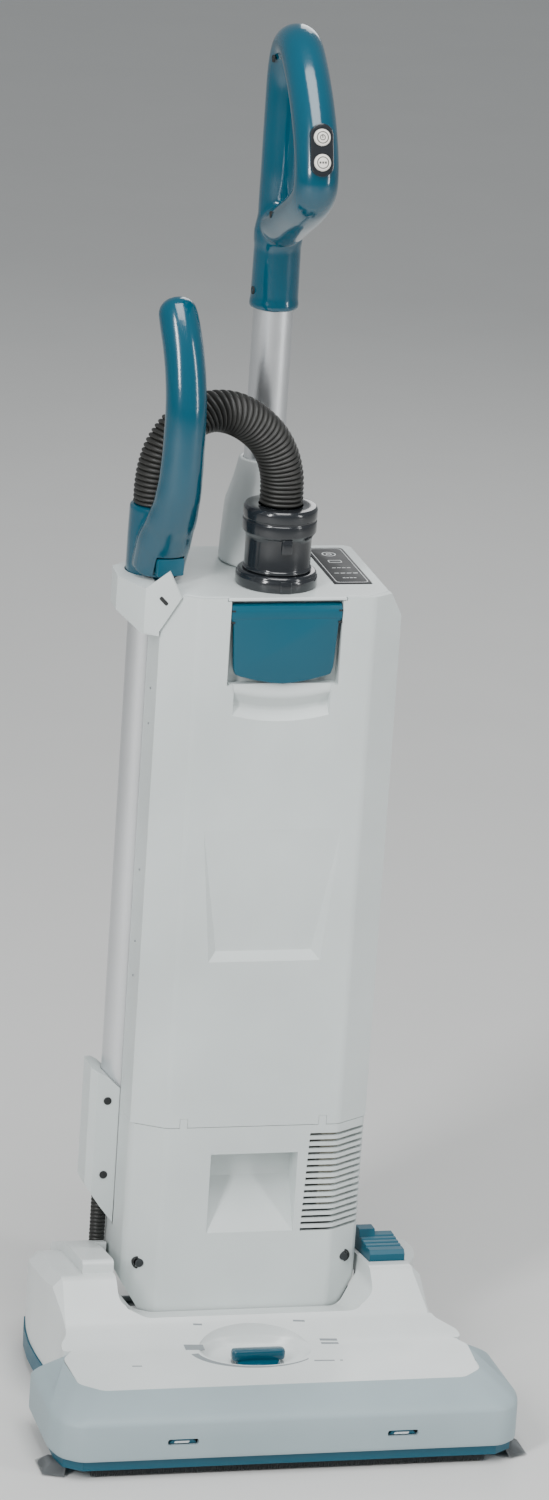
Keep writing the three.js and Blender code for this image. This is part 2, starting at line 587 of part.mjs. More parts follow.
function bumper() {
  const skin = loft([
    lift(BUMPER_PLAN, 18), lift(BUMPER_PLAN, 54), lift(grown(COVER_PLAN, 1), 67.5),
  ]);
  const hollow = loft([
    lift(grown(BUMPER_PLAN, -5, 8), 10), lift(grown(BUMPER_PLAN, -5, 8), 50),
    lift(grown(COVER_PLAN, 0.4, 8), 62), lift(grown(COVER_PLAN, 0.4, 8), 75),
  ]);
  const rearCut = add(
    box(-300, 300, -60, 100, 0, 100), box(-182.4, 182.4, -154, 0, 0, 60.1));
  const slot = (x) => box(x, x + 27.5, -200, -150, 30.8, 36.6);
  return cut(skin, hollow, rearCut, slot(-111.5), slot(84));
}

function headBase() {
  const front = [[184, -175], [199.5, -164], [203.5, -143], [202, -64]];
  const edge = sides(1.5).map(([x, y]) => (y > 139 ? [x + Math.sign(x) * 2, 128] : [x, y < -59 ? -57.5 : y]));
  const half = RIGHT_SIDE.length;
  const plan = [
    ...front, ...edge.slice(0, half), [150, 128], [-150, 128], ...edge.slice(half),
    ...mirrored(front).slice(front.length),
  ];
  const inside = sides(-3.2).map(([x, y]) => [x, y < -59 ? -80 : y]);
  const slab = prism('z', plan, 8, 14);
  const rim = cut(prism('z', plan, 13, 17.6), prism('z', grown(plan, -4), 10, 30));
  const skirt = cut(prism('z', edge, 13, SKIRT), prism('z', inside, 10, 60));
  const ear = (side) => {
    const [x0, x1] = side < 0 ? [-120.5, -114] : [114, 120.5];
    return prism('x', [[100, 10], [146, 10], [146, 80], [138, 86], [118, 90], [110, 80]], x0, x1);
  };
  const chamber = cut(prism('x', HOOD, -182, 182), prism('x', TUNNEL, -178, 178));
  const motorBed = box(72, 160, -74, -46, 12, 21);
  const shelf = box(SPRING.x - 10, SPRING.x + 10, SPRING.y - 11, SPRING.y + 11, 12, 76);
  const ductSeat = box(-136, -122, 84, 116, 12, 80);
  let made = add(slab, rim, skirt, ear(-1), ear(1), motorBed, shelf, ductSeat);
  made = add(made, chamber);
  made = cut(made, box(-178, 178, -150.5, -93.5, 0, 30));
  made = cut(made, box(-111, 111, 60, 200, 0, 200));
  for (const side of [-1, 1]) {
    const [x0, x1] = side < 0 ? [-WELL.x1, -WELL.x0] : [WELL.x0, WELL.x1];
    made = cut(made, box(x0, x1, WELL.y, 200, 0, 100));
    const castor = side * CASTOR.x;
    made = cut(made, box(castor - 9, castor + 9, CASTOR.y - 15, CASTOR.y + 15, 0, 40));
    made = add(made, rod('x', CASTOR.y, CASTOR.r, CASTOR.axle, castor - 10, castor + 10));
  }
  made = cut(made, rod('x', TILT.y, TILT.z, TILT.pin + 0.1, -150, 150));
  made = cut(made, rod('x', WHEEL.y, WHEEL.r, WHEEL.axle + 0.1, -150, 150));
  made = cut(made, rod('x', ROLLER.y, ROLLER.z, 4.2, -190, 190));
  made = cut(made, box(166, 181, -130, -90, 20, 50), box(166, 176.4, -91, -49, 20, 50));
  made = add(made, box(166, 181, -52, -50, 12, 20));
  return cut(made, rod('z', KNOB.x, KNOB.y, 5.4, 0, 60));
}

// The brush roller: a core with two spiral tufts, a drive pulley and two stub shafts.
function brushRoller() {
  const rings = [];
  const steps = 12;
  for (let i = 0; i <= steps; i += 1) {
    const x = -170 + (332 * i) / steps;
    const twist = (i / steps) * 2 * Math.PI;
    const ring = [];
    for (let k = 0; k < 12; k += 1) {
      const t = (k / 12) * 2 * Math.PI;
      const r = k % 6 === 0 ? ROLLER.tip : ROLLER.core;
      ring.push(new THREE.Vector3(x, ROLLER.y + r * Math.cos(t + twist), ROLLER.z + r * Math.sin(t + twist)));
    }
    rings.push(ring);
  }
  const pulley = rod('x', ROLLER.y, ROLLER.z, 12, 160, 176, 20);
  return add(loft(rings), pulley, rod('x', ROLLER.y, ROLLER.z, 4, -181.5, 181.5, 16));
}

function driveBelt() {
  const loop = (extra) => {
    const points = [];
    const gap = BRUSH_MOTOR.y - ROLLER.y;
    const tilt = Math.atan2(BRUSH_MOTOR.z - ROLLER.z, gap);
    const lean = Math.acos((12.3 - 7.3) / Math.hypot(gap, BRUSH_MOTOR.z - ROLLER.z));
    const arc = (y, z, r, from, to) => {
      for (let k = 0; k <= 8; k += 1) {
        const t = from + ((to - from) * k) / 8;
        points.push([y + r * Math.cos(t), z + r * Math.sin(t)]);
      }
    };
    arc(ROLLER.y, ROLLER.z, 12.3 + extra, tilt + lean, tilt + 2 * Math.PI - lean);
    arc(BRUSH_MOTOR.y, BRUSH_MOTOR.z, 7.3 + extra, tilt - lean, tilt + lean);
    return points;
  };
  return cut(prism('x', loop(1.8), 168, 175), prism('x', loop(0), 160, 180));
}

function heightKnob() {
  const dial = turned(
    KNOB.x, KNOB.y, [[0, 60.9], [KNOB.r, 60.9], [KNOB.r, 63.5], [KNOB.r - 2, 65], [0, 65]], 24);
  const bar = prism('y', [[-23, 64], [23, 64], [19, 71], [-19, 71]], -6.5, 6.5)
    .translate([KNOB.x, KNOB.y, 0]);
  return add(dial, bar, rod('z', KNOB.x, KNOB.y, 5, 20, 62, 12));
}

function spring(x, y, low, high, radius, wire, turns) {
  const points = [];
  const perTurn = 8;
  const count = turns * perTurn;
  for (let i = 0; i <= count; i += 1) {
    const t = (i / perTurn) * 2 * Math.PI;
    points.push([x + radius * Math.cos(t), y + radius * Math.sin(t), low + ((high - low) * i) / count]);
  }
  return alongPath(points, wire, count, 5);
}

function wheel(x0, x1, y, z, radius, bore, sides) {
  const width = x1 - x0;
  const round = radius * 0.08;
  const profile = [
    [bore, -width / 2], [radius - round, -width / 2], [radius, -width / 2 + round],
    [radius, width / 2 - round],    [radius - round, width / 2], [bore, width / 2],
  ].map(([r, h]) => new THREE.Vector2(r, h));
  profile.push(profile[0].clone());
  const geometry = new THREE.LatheGeometry(profile, sides)
    .rotateZ(Math.PI / 2).translate((x0 + x1) / 2, y, z);
  const made = solid(geometry);
  return made.volume() < 0 ? solid(flipped(geometry)) : made;
}

function sideBrush(side) {
  const root = [[196, -164, 7.6], [206, -150, 7.6], [206, -136, 7.6], [196, -140, 7.6]];
  const tips = [[199, -171, 0.6], [217.5, -163, 0.6], [217.5, -130, 0.6], [199, -136, 0.6]];
  const ring = (list) => list.map(([x, y, z]) => new THREE.Vector3(side * x, y, z));
  return loft([ring(root), ring(tips)]);
}

// ---------------------------------------------------------------- assembly: the floor head
piece('head_base', headBase(), TEAL);
piece('head_cover', headCover(), WHITE);
piece('bumper', bumper(), BUMPER);
for (const [name, x] of [['left', -97.75], ['right', 97.75]]) {
  piece('bumper_clip_' + name, add(
    box(x - 16, x + 16, -174.5, -172, 27, 40), box(x - 12.5, x + 12.5, -178.6, -173, 31.4, 36)), TEAL);
}
piece('front_strip', box(-176, 176, -172, -167, 0.8, 7.6), GREY);
piece('side_brush_left', sideBrush(-1), GREY);
piece('side_brush_right', sideBrush(1), GREY);
for (const [name, side] of [['left', -1], ['right', 1]]) {
  const x = Math.min(side * 182.4, side * 188);
  const cap = cut(
    rod('x', ROLLER.y, ROLLER.z, 12, x, x + 5.6, 24), rod('x', ROLLER.y, ROLLER.z, 4.3, -184, 184, 20));
  piece('roller_bearing_' + name, cap, STEEL);
}
piece('brush_roller', brushRoller(), GREY);
piece('drive_belt', driveBelt(), RUBBER);
piece('brush_motor', add(
  rod('x', BRUSH_MOTOR.y, BRUSH_MOTOR.z, BRUSH_MOTOR.r - 0.4, 76, 158, 28),
  rod('x', BRUSH_MOTOR.y, BRUSH_MOTOR.z, 2.5, 150, 175.6, 16)), STEEL);
piece('motor_pulley', cut(
  rod('x', BRUSH_MOTOR.y, BRUSH_MOTOR.z, 7, 167.5, 175.5, 20),
  rod('x', BRUSH_MOTOR.y, BRUSH_MOTOR.z, 2.58, 160, 180, 16)), STEEL);
piece('rear_axle', rod('x', WHEEL.y, WHEEL.r, WHEEL.axle, -163.5, 163.5), STEEL);
piece('rear_wheel_left', wheel(-WHEEL.x1, -WHEEL.x0, WHEEL.y, WHEEL.r, WHEEL.r, 5.1, 32), GREY);
piece('rear_wheel_right', wheel(WHEEL.x0, WHEEL.x1, WHEEL.y, WHEEL.r, WHEEL.r, 5.1, 32), GREY);
for (const [name, side] of [['left', -1], ['right', 1]]) {
  const x = side * CASTOR.x;
  const half = CASTOR.width / 2;
  piece('front_roller_' + name, wheel(x - half, x + half, CASTOR.y, CASTOR.r, CASTOR.r, 2.6, 20), GREY);
  const [inner, outer] = [Math.min(side * 99, side * 124), Math.max(side * 99, side * 124)];
  piece('pivot_pin_' + name, rod('x', TILT.y, TILT.z, TILT.pin, inner, outer), STEEL);
}
piece('height_knob', heightKnob(), TEAL);
piece('release_pedal', add(
  prism('x', [
    [PEDAL.y0, 98], [PEDAL.y0, 117], [24, 120], [70, 119.5], [79, 113], [PEDAL.y1, 104], [63, 98],
  ], PEDAL.x0, PEDAL.x1),
  prism('x', [[56, 116], [61, 125.5], [73, 125], [79, 117], [79, 108], [60, 108]], PEDAL.x0, 129)), TEAL);
piece('pedal_spring', spring(SPRING.x, SPRING.y, 77.5, 96.5, 6.5, 1, 4), STEEL);

// ---------------------------------------------------------------- assembly: the body
piece('lower_housing', lowerHousing(), WHITE);
piece('rear_housing', rearHousing(), WHITE);
piece('top_deck', topDeck(), WHITE);
piece('bag_door', bagDoor(), WHITE);
piece('door_pin', rod('x', DOOR.pinY, DOOR.pinZ, 1.3, -72, 72, 12), STEEL);
piece('door_latch', doorLatch(), TEAL);
piece('display_panel', box(PANEL.x0, PANEL.x1, PANEL.y0, PANEL.y1, DECK - 1.6, DECK + 0.8), BLACK);
piece('control_board', box(44, 88, 64, 160, 719, 721), TEAL);
piece('suction_motor', turned(MOTOR.x, MOTOR.y, [
  [0, 96], [MOTOR.r, 96], [MOTOR.r, 184], [MOTOR.fan, 188], [MOTOR.fan, 226], [43, 226], [43, 192],
  [4, 192], [4, 216], [0, 216],
]), GREY);
piece('impeller', impeller(), IVORY);
piece('motor_seal', turned(
  MOTOR.x, MOTOR.y, [[34, 226.4], [46, 226.4], [44, 241.6], [34, 241.6]], 28), RUBBER);
piece('pre_filter', box(-55, 95, 45, 117, 250, 262), GREY);
piece('exhaust_filter', exhaustFilter(), PAPER);
piece('dust_bag', dustBag(), PAPER);
piece('bag_collar', cut(box(-44, 44, 50, 112, 664, 668), rod('z', 0, PORT.y, 18, 600, 700, 24)), PAPER);
piece('battery_left', box(-64, -2, BATTERY.y0, BATTERY.y1, BATTERY.low, BATTERY.high), BLACK);
piece('battery_right', box(2, 64, BATTERY.y0, BATTERY.y1, BATTERY.low, BATTERY.high), BLACK);
piece('battery_door', box(-69.5, 69.5, 176.8, 179.6, 290.6, 479.4), WHITE);
for (const [name, side] of [['left', -1], ['right', 1]]) {
  piece('housing_screw_' + name, rod('y', side * SCREW.x, SCREW.z, SCREW.r, 31.5, 44, 14), STEEL);
}

// ---------------------------------------------------------------- assembly: hose and wand
piece('lock_ring', turned(0, PORT.y, [
  [24.4, DECK + GAP], [35.6, DECK + GAP], [35.6, 739], [33.5, 742], [24.4, 742],
], 28), BLACK);
piece('hose_cuff', turned(0, PORT.y, [
  [19.5, 700], [24, 700], [24, 742.3], [30, 742.3], [30, 776], [32.3, 777.5], [32.3, 796],
  [30.5, 799], [19.5, 799],
], 28), BLACK);
piece('suction_hose', alongPath(HOSE_ROUTE, HOSE.r, 26, 12), RUBBER);
piece('wand_handle', wandHandle(), TEAL);
piece('wand_button', wandButton(), TEAL);
piece('wand_tube', cut(
  rod('z', WAND.x, WAND.y, WAND.tube, 150, 716, 28),
  rod('z', WAND.x, WAND.y, WAND.tube - 1.5, 100, 800, 28)), SILVER);
piece('wand_cup', wandCup(), WHITE);
piece('wand_bracket', wandBracket(), WHITE);
piece('duct_hose', alongPath(DUCT_ROUTE, DUCT.r, 8, 10), RUBBER);

// ---------------------------------------------------------------- assembly: handle
piece('tube_socket', cut(
  turned(0, HANDLE.y, [
    [HANDLE.tube + GAP, DECK + GAP], [34.5, DECK + GAP], [34, 745], [31.8, 782], [26, 801], [21.3, 822],
    [HANDLE.tube + GAP, 822],
  ]),
  rod('z', 0, PORT.y, 36.2, 700, 744, 40), rod('z', 0, PORT.y, 32.9, 740, 830, 40)), WHITE);
piece('handle_tube', cut(
  rod('z', 0, HANDLE.y, HANDLE.tube, 702, 1010, 28),
  rod('z', 0, HANDLE.y, HANDLE.tube - 1.5, 600, 1100, 28)), SILVER);
piece('handle_shell_left', handleShell(-1), TEAL);
piece('handle_shell_right', handleShell(1), TEAL);
piece('control_panel', controlPanel(), BLACK);
piece('power_button', panelButton(1), IVORY);
piece('mode_button', panelButton(-1), IVORY);

export default assembly;
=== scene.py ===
"""Looks of a cordless commercial upright vacuum cleaner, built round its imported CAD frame.

Sizes are in millimetres and turned to metres by MM. +X is right seen from the front, the front faces -Y and
+Z is up.
"""
import json
from math import atan2, copysign, cos, pi, radians, sin, sqrt, tau

import bmesh
import bpy
from mathutils import Matrix, Vector
from mathutils.noise import noise


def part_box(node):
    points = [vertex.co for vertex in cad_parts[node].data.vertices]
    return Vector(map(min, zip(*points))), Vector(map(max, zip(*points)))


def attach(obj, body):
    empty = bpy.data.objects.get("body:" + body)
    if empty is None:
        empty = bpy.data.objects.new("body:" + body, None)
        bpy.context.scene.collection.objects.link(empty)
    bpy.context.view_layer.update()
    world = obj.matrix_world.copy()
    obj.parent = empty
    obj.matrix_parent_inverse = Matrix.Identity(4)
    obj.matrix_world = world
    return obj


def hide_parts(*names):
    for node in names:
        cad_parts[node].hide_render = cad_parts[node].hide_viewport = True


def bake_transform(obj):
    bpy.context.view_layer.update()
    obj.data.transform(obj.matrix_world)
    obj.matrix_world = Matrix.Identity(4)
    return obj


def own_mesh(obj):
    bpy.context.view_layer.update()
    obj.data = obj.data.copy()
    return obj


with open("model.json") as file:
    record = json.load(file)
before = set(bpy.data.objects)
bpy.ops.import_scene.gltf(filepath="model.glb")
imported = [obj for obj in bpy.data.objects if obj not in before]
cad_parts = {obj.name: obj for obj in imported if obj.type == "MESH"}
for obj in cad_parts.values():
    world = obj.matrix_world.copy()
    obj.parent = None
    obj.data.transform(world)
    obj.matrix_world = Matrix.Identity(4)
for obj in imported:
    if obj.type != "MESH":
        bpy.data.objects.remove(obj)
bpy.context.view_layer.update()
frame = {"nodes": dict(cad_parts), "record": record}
MM = 0.001


# ---------- places, in the frame
def span(node):
    """Lowest and highest corner of a CAD node, in millimetres."""
    low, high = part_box(node)
    return low / MM, high / MM


def middle(node):
    """The centre of a CAD node's box."""
    low, high = span(node)
    return (low + high) / 2


BODY_HIGH = span("rear_housing")[1]
DECK = span("top_deck")[1].z
FRONT = span("bag_door")[0].y
WAND = middle("wand_tube")
TUBE = middle("handle_tube")
PORT = middle("lock_ring")
LATCH_LOW, LATCH_HIGH = span("door_latch")
KNOB = middle("height_knob")
PANEL_LOW, PANEL_HIGH = span("display_panel")


# ---------- camera
def set_camera():
    """A long lens from the front left and above, level with the body's middle, rolled a little."""
    turn, tilt, roll = radians(14.994), radians(17.636), radians(3.795)
    distance = 5.9183
    target = Vector((0, 0.064, 0.6))
    look = Vector((sin(turn) * cos(tilt), cos(turn) * cos(tilt), -sin(tilt)))
    right = Vector((cos(turn), -sin(turn), 0))
    up = right.cross(look)
    rolled_right = right * cos(roll) + up * sin(roll)
    rolled_up = up * cos(roll) - right * sin(roll)
    lens = bpy.data.cameras.new("camera")
    camera = in_scene("camera", lens)
    axes = Matrix((rolled_right, rolled_up, -look)).transposed().to_4x4()
    camera.matrix_world = Matrix.Translation(target - look * distance) @ axes
    lens.sensor_fit, lens.sensor_height = "VERTICAL", 36
    lens.lens, lens.shift_x, lens.shift_y = 163.38, 0.0045, -0.0166
    lens.clip_end = 50
    bpy.context.scene.camera = camera


# ---------- materials
def put(node, **values):
    """Sets a shader node's inputs; an underscore stands for a space in a name."""
    for key, value in values.items():
        node.inputs[key.replace("_", " ")].default_value = value
    return node


def wire(tree, a, b):
    """Links one socket to another."""
    tree.links.new(a, b)


def linear(hex_color):
    """An sRGB hex colour as linear light."""
    parts = [int(hex_color[i:i + 2], 16) / 255 for i in (0, 2, 4)]
    return [c / 12.92 if c <= 0.04045 else ((c + 0.055) / 1.055) ** 2.4 for c in parts]


def finish(name, color, rough, metal=0.0, grain=0.3, size=900.0, uneven=0.05, coat=0.0, dust=0.04):
    """A moulded or turned surface: faint colour drift, worn roughness and a fine grain in its bump.

    The colour is sRGB hex text or three linear values.
    """
    color = linear(color) if isinstance(color, str) else color
    material = bpy.data.materials.new(name)
    material.use_nodes = True
    tree = material.node_tree
    shader = tree.nodes["Principled BSDF"]
    put(shader, Metallic=metal, Coat_Weight=coat, Coat_Roughness=0.08)
    where = tree.nodes.new("ShaderNodeTexCoord").outputs["Object"]

    def noise_node(scale, detail):
        node = put(tree.nodes.new("ShaderNodeTexNoise"), Scale=scale, Detail=detail)
        wire(tree, where, node.inputs["Vector"])
        return node.outputs["Fac"]

    drift = tree.nodes.new("ShaderNodeValToRGB")
    darker = [c * (1 - uneven - dust) for c in color]
    lighter = [min(1.0, c * (1 + uneven)) for c in color]
    for stop, position, shade in zip(drift.color_ramp.elements, (0.3, 0.7), (darker, lighter)):
        stop.position, stop.color = position, (*shade, 1)
    wire(tree, noise_node(7, 5), drift.inputs["Fac"])
    wire(tree, drift.outputs["Color"], shader.inputs["Base Color"])
    wear = put(tree.nodes.new("ShaderNodeMapRange"), To_Min=max(0.03, rough - 0.05),
               To_Max=min(1.0, rough + 0.08))
    wire(tree, noise_node(45, 6), wear.inputs["Value"])
    wire(tree, wear.outputs["Result"], shader.inputs["Roughness"])
    bump = put(tree.nodes.new("ShaderNodeBump"), Strength=grain, Distance=0.00012)
    wire(tree, noise_node(size, 3), bump.inputs["Height"])
    wire(tree, bump.outputs["Normal"], shader.inputs["Normal"])
    return material


def brushed(name, color, rough, axis):
    """Anodised or turned metal with fine lines along or round one axis."""
    material = finish(name, color, rough, metal=1.0, grain=0.0, uneven=0.02)
    tree = material.node_tree
    where = tree.nodes.new("ShaderNodeTexCoord")
    stretch = put(tree.nodes.new("ShaderNodeMapping"), Scale=[6 if i == axis else 900 for i in range(3)])
    lines = put(tree.nodes.new("ShaderNodeTexNoise"), Scale=1.0, Detail=4)
    wire(tree, where.outputs["Object"], stretch.inputs["Vector"])
    wire(tree, stretch.outputs["Vector"], lines.inputs["Vector"])
    bump = put(next(n for n in tree.nodes if n.type == "BUMP"), Strength=0.25)
    wire(tree, lines.outputs["Fac"], bump.inputs["Height"])
    return material


def fleece(name, color, scale=420.0):
    """Felted fibres: a crossed pair of stretched noises with a soft sheen."""
    material = finish(name, color, 0.9, grain=0.9, size=scale, uneven=0.08)
    tree = material.node_tree
    put(tree.nodes["Principled BSDF"], Sheen_Weight=0.35, Sheen_Roughness=0.5)
    cells = put(tree.nodes.new("ShaderNodeTexVoronoi"), Scale=scale * 0.6)
    cells.feature = "DISTANCE_TO_EDGE"
    where = next(n for n in tree.nodes if n.type == "TEX_COORD")
    wire(tree, where.outputs["Object"], cells.inputs["Vector"])
    bump = put(next(n for n in tree.nodes if n.type == "BUMP"), Distance=0.0006)
    wire(tree, cells.outputs["Distance"], bump.inputs["Height"])
    return material


WHITE = finish("housing_white", "d3dad9", 0.42, grain=0.35, size=1400)
WHITE_SMOOTH = finish("housing_smooth", "dde2e1", 0.3, grain=0.15, size=1400)
TEAL = finish("teal_gloss", (0.0, 0.068, 0.112), 0.17, grain=0.08, size=500, coat=0.6)
TEAL_SATIN = finish("teal_satin", (0.0, 0.085, 0.135), 0.4, grain=0.3, size=1400)
BUMPER_GREY = finish("bumper_grey", "9fb0b5", 0.5, grain=0.5, size=1100)
BLACK = finish("black_gloss", "202327", 0.16, grain=0.05, size=500, coat=0.5)
DISPLAY = finish("display_dark", "16181b", 0.5, grain=0.03, size=500)
BLACK_MATTE = finish("black_matte", "232425", 0.6, grain=0.5, size=1100)
HOSE_BLACK = finish("hose_black", "2a2a28", 0.45, grain=0.35, size=900)
RUBBER = finish("rubber_black", "232323", 0.75, grain=0.6, size=700)
WHEEL_GREY = finish("wheel_grey", "55585b", 0.6, grain=0.5, size=900)
BRISTLE = finish("bristle_grey", "6d7173", 0.6, grain=0.4, size=1600, uneven=0.2)
BRISTLE_DARK = finish("bristle_dark", "34383a", 0.6, grain=0.4, size=1600, uneven=0.2)
ANODISED = brushed("anodised_tube", "e6e8ea", 0.36, axis=2)
DARK_STEEL = brushed("dark_steel", "4a4c4e", 0.4, axis=2)
STEEL = brushed("steel", "a6a9ac", 0.28, axis=0)
CASTING = finish("motor_casting", "8e9194", 0.45, metal=0.8, grain=0.6, size=600)
PAPER = fleece("filter_paper", "ddd7c6", 700)
FELT = fleece("filter_felt", "6f7375", 500)
FLEECE = fleece("bag_fleece", "e2dfd6", 420)
IVORY = finish("ivory", "eeebe2", 0.35, grain=0.15, size=900)
BOARD = finish("board_green", "1c5a3a", 0.4, grain=0.3, size=1200)
# Grey for printed marks and dots, also used for painted shade in the cover's bowl and round the knob's foot.
MARK_AND_SHADE_GREY = finish("mark_and_painted_shade_grey", "8b9295", 0.5, grain=0.2, size=1200)
MARK_WHITE = finish("mark_white", "eef1f1", 0.45, grain=0.2, size=1200)
# Painted highlight: a bright, shiny sheet that stands in for the glint in the bumper's clip windows.
PAINTED_GLINT = finish("painted_glint", "e6ecee", 0.12, metal=0.4, grain=0.05, size=500)


# ---------- mesh helpers
def in_scene(name, data):
    """A new object in the scene."""
    thing = bpy.data.objects.new(name, data)
    bpy.context.scene.collection.objects.link(thing)
    return thing


def piece(name, mesh, body, material, replaces=(), ends=None):
    """A finished mesh as an object with its material.

    It rides on a body; with ends it keeps its place in the world instead, and the end points are not used.
    """
    thing = in_scene(name, mesh)
    mesh.materials.clear()
    mesh.materials.append(material)
    if ends:
        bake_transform(thing)
    else:
        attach(thing, body)
    if replaces:
        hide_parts(*replaces)
    return thing


def smoothed(mesh, angle=35):
    """Smooth shading that stays crisp at edges over an angle."""
    for face in mesh.polygons:
        face.use_smooth = True
    mesh.set_sharp_from_angle(angle=radians(angle))
    return mesh


def mesh_from(verts, faces, name="made"):
    """A mesh from millimetre points."""
    mesh = bpy.data.meshes.new(name)
    mesh.from_pydata([Vector(v) * MM for v in verts], [], faces)
    work = bmesh.new()
    work.from_mesh(mesh)
    bmesh.ops.recalc_face_normals(work, faces=work.faces)
    work.to_mesh(mesh)
    work.free()
    return mesh


def skin(rings, closed=False, capped=True):
    """Faces through rings of equal count."""
    n = len(rings[0])
    verts = [p for ring in rings for p in ring]
    count = len(rings)
    faces = []
    for i in range(count if closed else count - 1):
        a, b = i * n, ((i + 1) % count) * n
        faces += [(a + k, a + (k + 1) % n, b + (k + 1) % n, b + k) for k in range(n)]
    if capped and not closed:
        faces.append(tuple(range(n)))
        faces.append(tuple(range((count - 1) * n, count * n)))
    return mesh_from(verts, faces)


def directions(count):
    """Even steps round a circle, as (cosine, sine)."""
    return [(cos(tau * k / count), sin(tau * k / count)) for k in range(count)]


def rectangle(x0, y0, x1, y1):
    """A rectangle's outline from two opposite corners."""
    return [(x0, y0), (x1, y0), (x1, y1), (x0, y1)]


# Where a point (a, b) of an outline goes at height h along each axis.
ALONG = {
    "x": lambda a, b, h: Vector((h, a, b)),
    "y": lambda a, b, h: Vector((a, h, b)),
    "z": lambda a, b, h: Vector((a, b, h)),
}


def lathe(a, b, profile, sides=64, axis="z", closed=True):
    """A turned mesh round an axis through (a, b); the profile of (radius, height) closes on itself."""
    place = ALONG[axis]
    rings = [[place(a + r * c, b + r * s, h) for c, s in directions(sides)] for r, h in profile]
    return smoothed(skin(rings, closed=closed), 30)


def turned(a, b, profile, sides=64, axis="z"):
    """A solid turned body; its profile is open, and the end rings are capped."""
    return lathe(a, b, profile, sides, axis, closed=False)


def rounded(profile, radius, steps=3, closed=True):
    """A profile with its corners turned into short arcs; radius is one for all, or one for each corner."""
    points = [Vector(p) for p in profile]
    out = []
    for i, here in enumerate(points):
        if not closed and i in (0, len(points) - 1):
            out.append(tuple(here))
            continue
        before, after = points[i - 1], points[(i + 1) % len(points)]
        a, b = before - here, after - here
        wanted = radius[i] if isinstance(radius, (list, tuple)) else radius
        reach = min(wanted, a.length * 0.45, b.length * 0.45)
        start, end = here + a.normalized() * reach, here + b.normalized() * reach
        for k in range(steps + 1):
            t = k / steps
            out.append(tuple(start * (1 - t) ** 2 + here * 2 * t * (1 - t) + end * t * t))
    return out


def spline(points, count, closed=False):
    """Evenly spread points on a smooth curve through the given ones."""
    vectors = [Vector(p) for p in points]
    n = len(vectors)

    def at(i):
        return vectors[i % n] if closed else vectors[max(0, min(n - 1, i))]

    dense = []
    for i in range(n if closed else n - 1):
        p0, p1, p2, p3 = at(i - 1), at(i), at(i + 1), at(i + 2)
        for k in range(24):
            t = k / 24
            dense.append(0.5 * (2 * p1 + (p2 - p0) * t + (2 * p0 - 5 * p1 + 4 * p2 - p3) * t * t
                                + (3 * p1 - p0 - 3 * p2 + p3) * t ** 3))
    dense.append(vectors[0] if closed else vectors[-1])
    lengths = [0.0]
    for a, b in zip(dense, dense[1:]):
        lengths.append(lengths[-1] + (b - a).length)
    total = lengths[-1]
    out, j = [], 0
    for i in range(count):
        want = total * i / (count if closed else count - 1)
        while j < len(dense) - 2 and lengths[j + 1] < want:
            j += 1
        step = max(lengths[j + 1] - lengths[j], 1e-9)
        out.append(dense[j].lerp(dense[j + 1], (want - lengths[j]) / step))
    return out, total


def sweep(points, across, sizes, sides, closed=False):
    """Oval rings along a path; sizes gives (half width, half depth) for each point."""
    rings, n = [], len(points)
    for i, p in enumerate(points):
        a = points[(i - 1) % n] if closed or i else p
        b = points[(i + 1) % n] if closed or i < n - 1 else p
        tangent = (b - a).normalized()
        along = tangent.cross(across).normalized()
        wide, deep = sizes(i / (n if closed else n - 1))
        rings.append([p + across * c * wide + along * s * deep for c, s in directions(sides)])
    return rings


def applied(thing):
    """The object's mesh after its modifiers, as a mesh of its own."""
    bpy.context.view_layer.update()
    graph = bpy.context.evaluated_depsgraph_get()
    return bpy.data.meshes.new_from_object(thing.evaluated_get(graph))


def worked(mesh, *steps):
    """A mesh run through modifiers, each a (type, settings) pair."""
    thing = in_scene("work", mesh)
    for kind, settings in steps:
        modifier = thing.modifiers.new(kind.lower(), kind)
        for key, value in settings.items():
            setattr(modifier, key, value)
    result = applied(thing)
    bpy.data.objects.remove(thing)
    return result


def joined(*meshes):
    """Several meshes as one."""
    work = bmesh.new()
    for mesh in meshes:
        work.from_mesh(mesh)
    result = bpy.data.meshes.new("joined")
    work.to_mesh(result)
    work.free()
    return result


def combined(mesh, other, operation):
    """A mesh worked by another with a boolean: UNION, DIFFERENCE or INTERSECT."""
    tool = in_scene("tool", other)
    made = worked(mesh, ("BOOLEAN", {"operation": operation, "object": tool, "solver": "EXACT"}))
    bpy.data.objects.remove(tool)
    return made


def cut(mesh, *cutters):
    """A mesh with others taken out of it, one after the other."""
    for cutter in cutters:
        mesh = combined(mesh, cutter, "DIFFERENCE")
    return mesh


def cleaned(node):
    """A CAD node's own shape with its flat faces whole again."""
    work = bmesh.new()
    work.from_mesh(frame["nodes"][node].data)
    bmesh.ops.remove_doubles(work, verts=work.verts, dist=2e-6)
    bmesh.ops.dissolve_limit(work, angle_limit=radians(0.6), verts=work.verts, edges=work.edges)
    return work


def softened(work, width, rounds=()):
    """Breaks the sharp edges of a moulding, and rounds the chosen ones further first."""
    for chosen, radius, segments in rounds:
        edges = [e for e in work.edges if len(e.link_faces) == 2 and e.calc_face_angle(0) > radians(12)
                 and chosen(e.verts[0].co / MM, e.verts[1].co / MM)]
        if edges:
            bmesh.ops.bevel(work, geom=edges, offset=radius * MM, segments=segments, profile=0.5,
                            affect="EDGES", clamp_overlap=True)
    mesh = bpy.data.meshes.new("softened")
    work.to_mesh(mesh)
    work.free()
    return edged(mesh, width) if width else mesh


def bevel(width, angle, **more):
    """A modifier step that breaks the edges sharper than an angle."""
    return ("BEVEL", {"width": width * MM, "segments": 2, "limit_method": "ANGLE",
                      "angle_limit": radians(angle), **more})


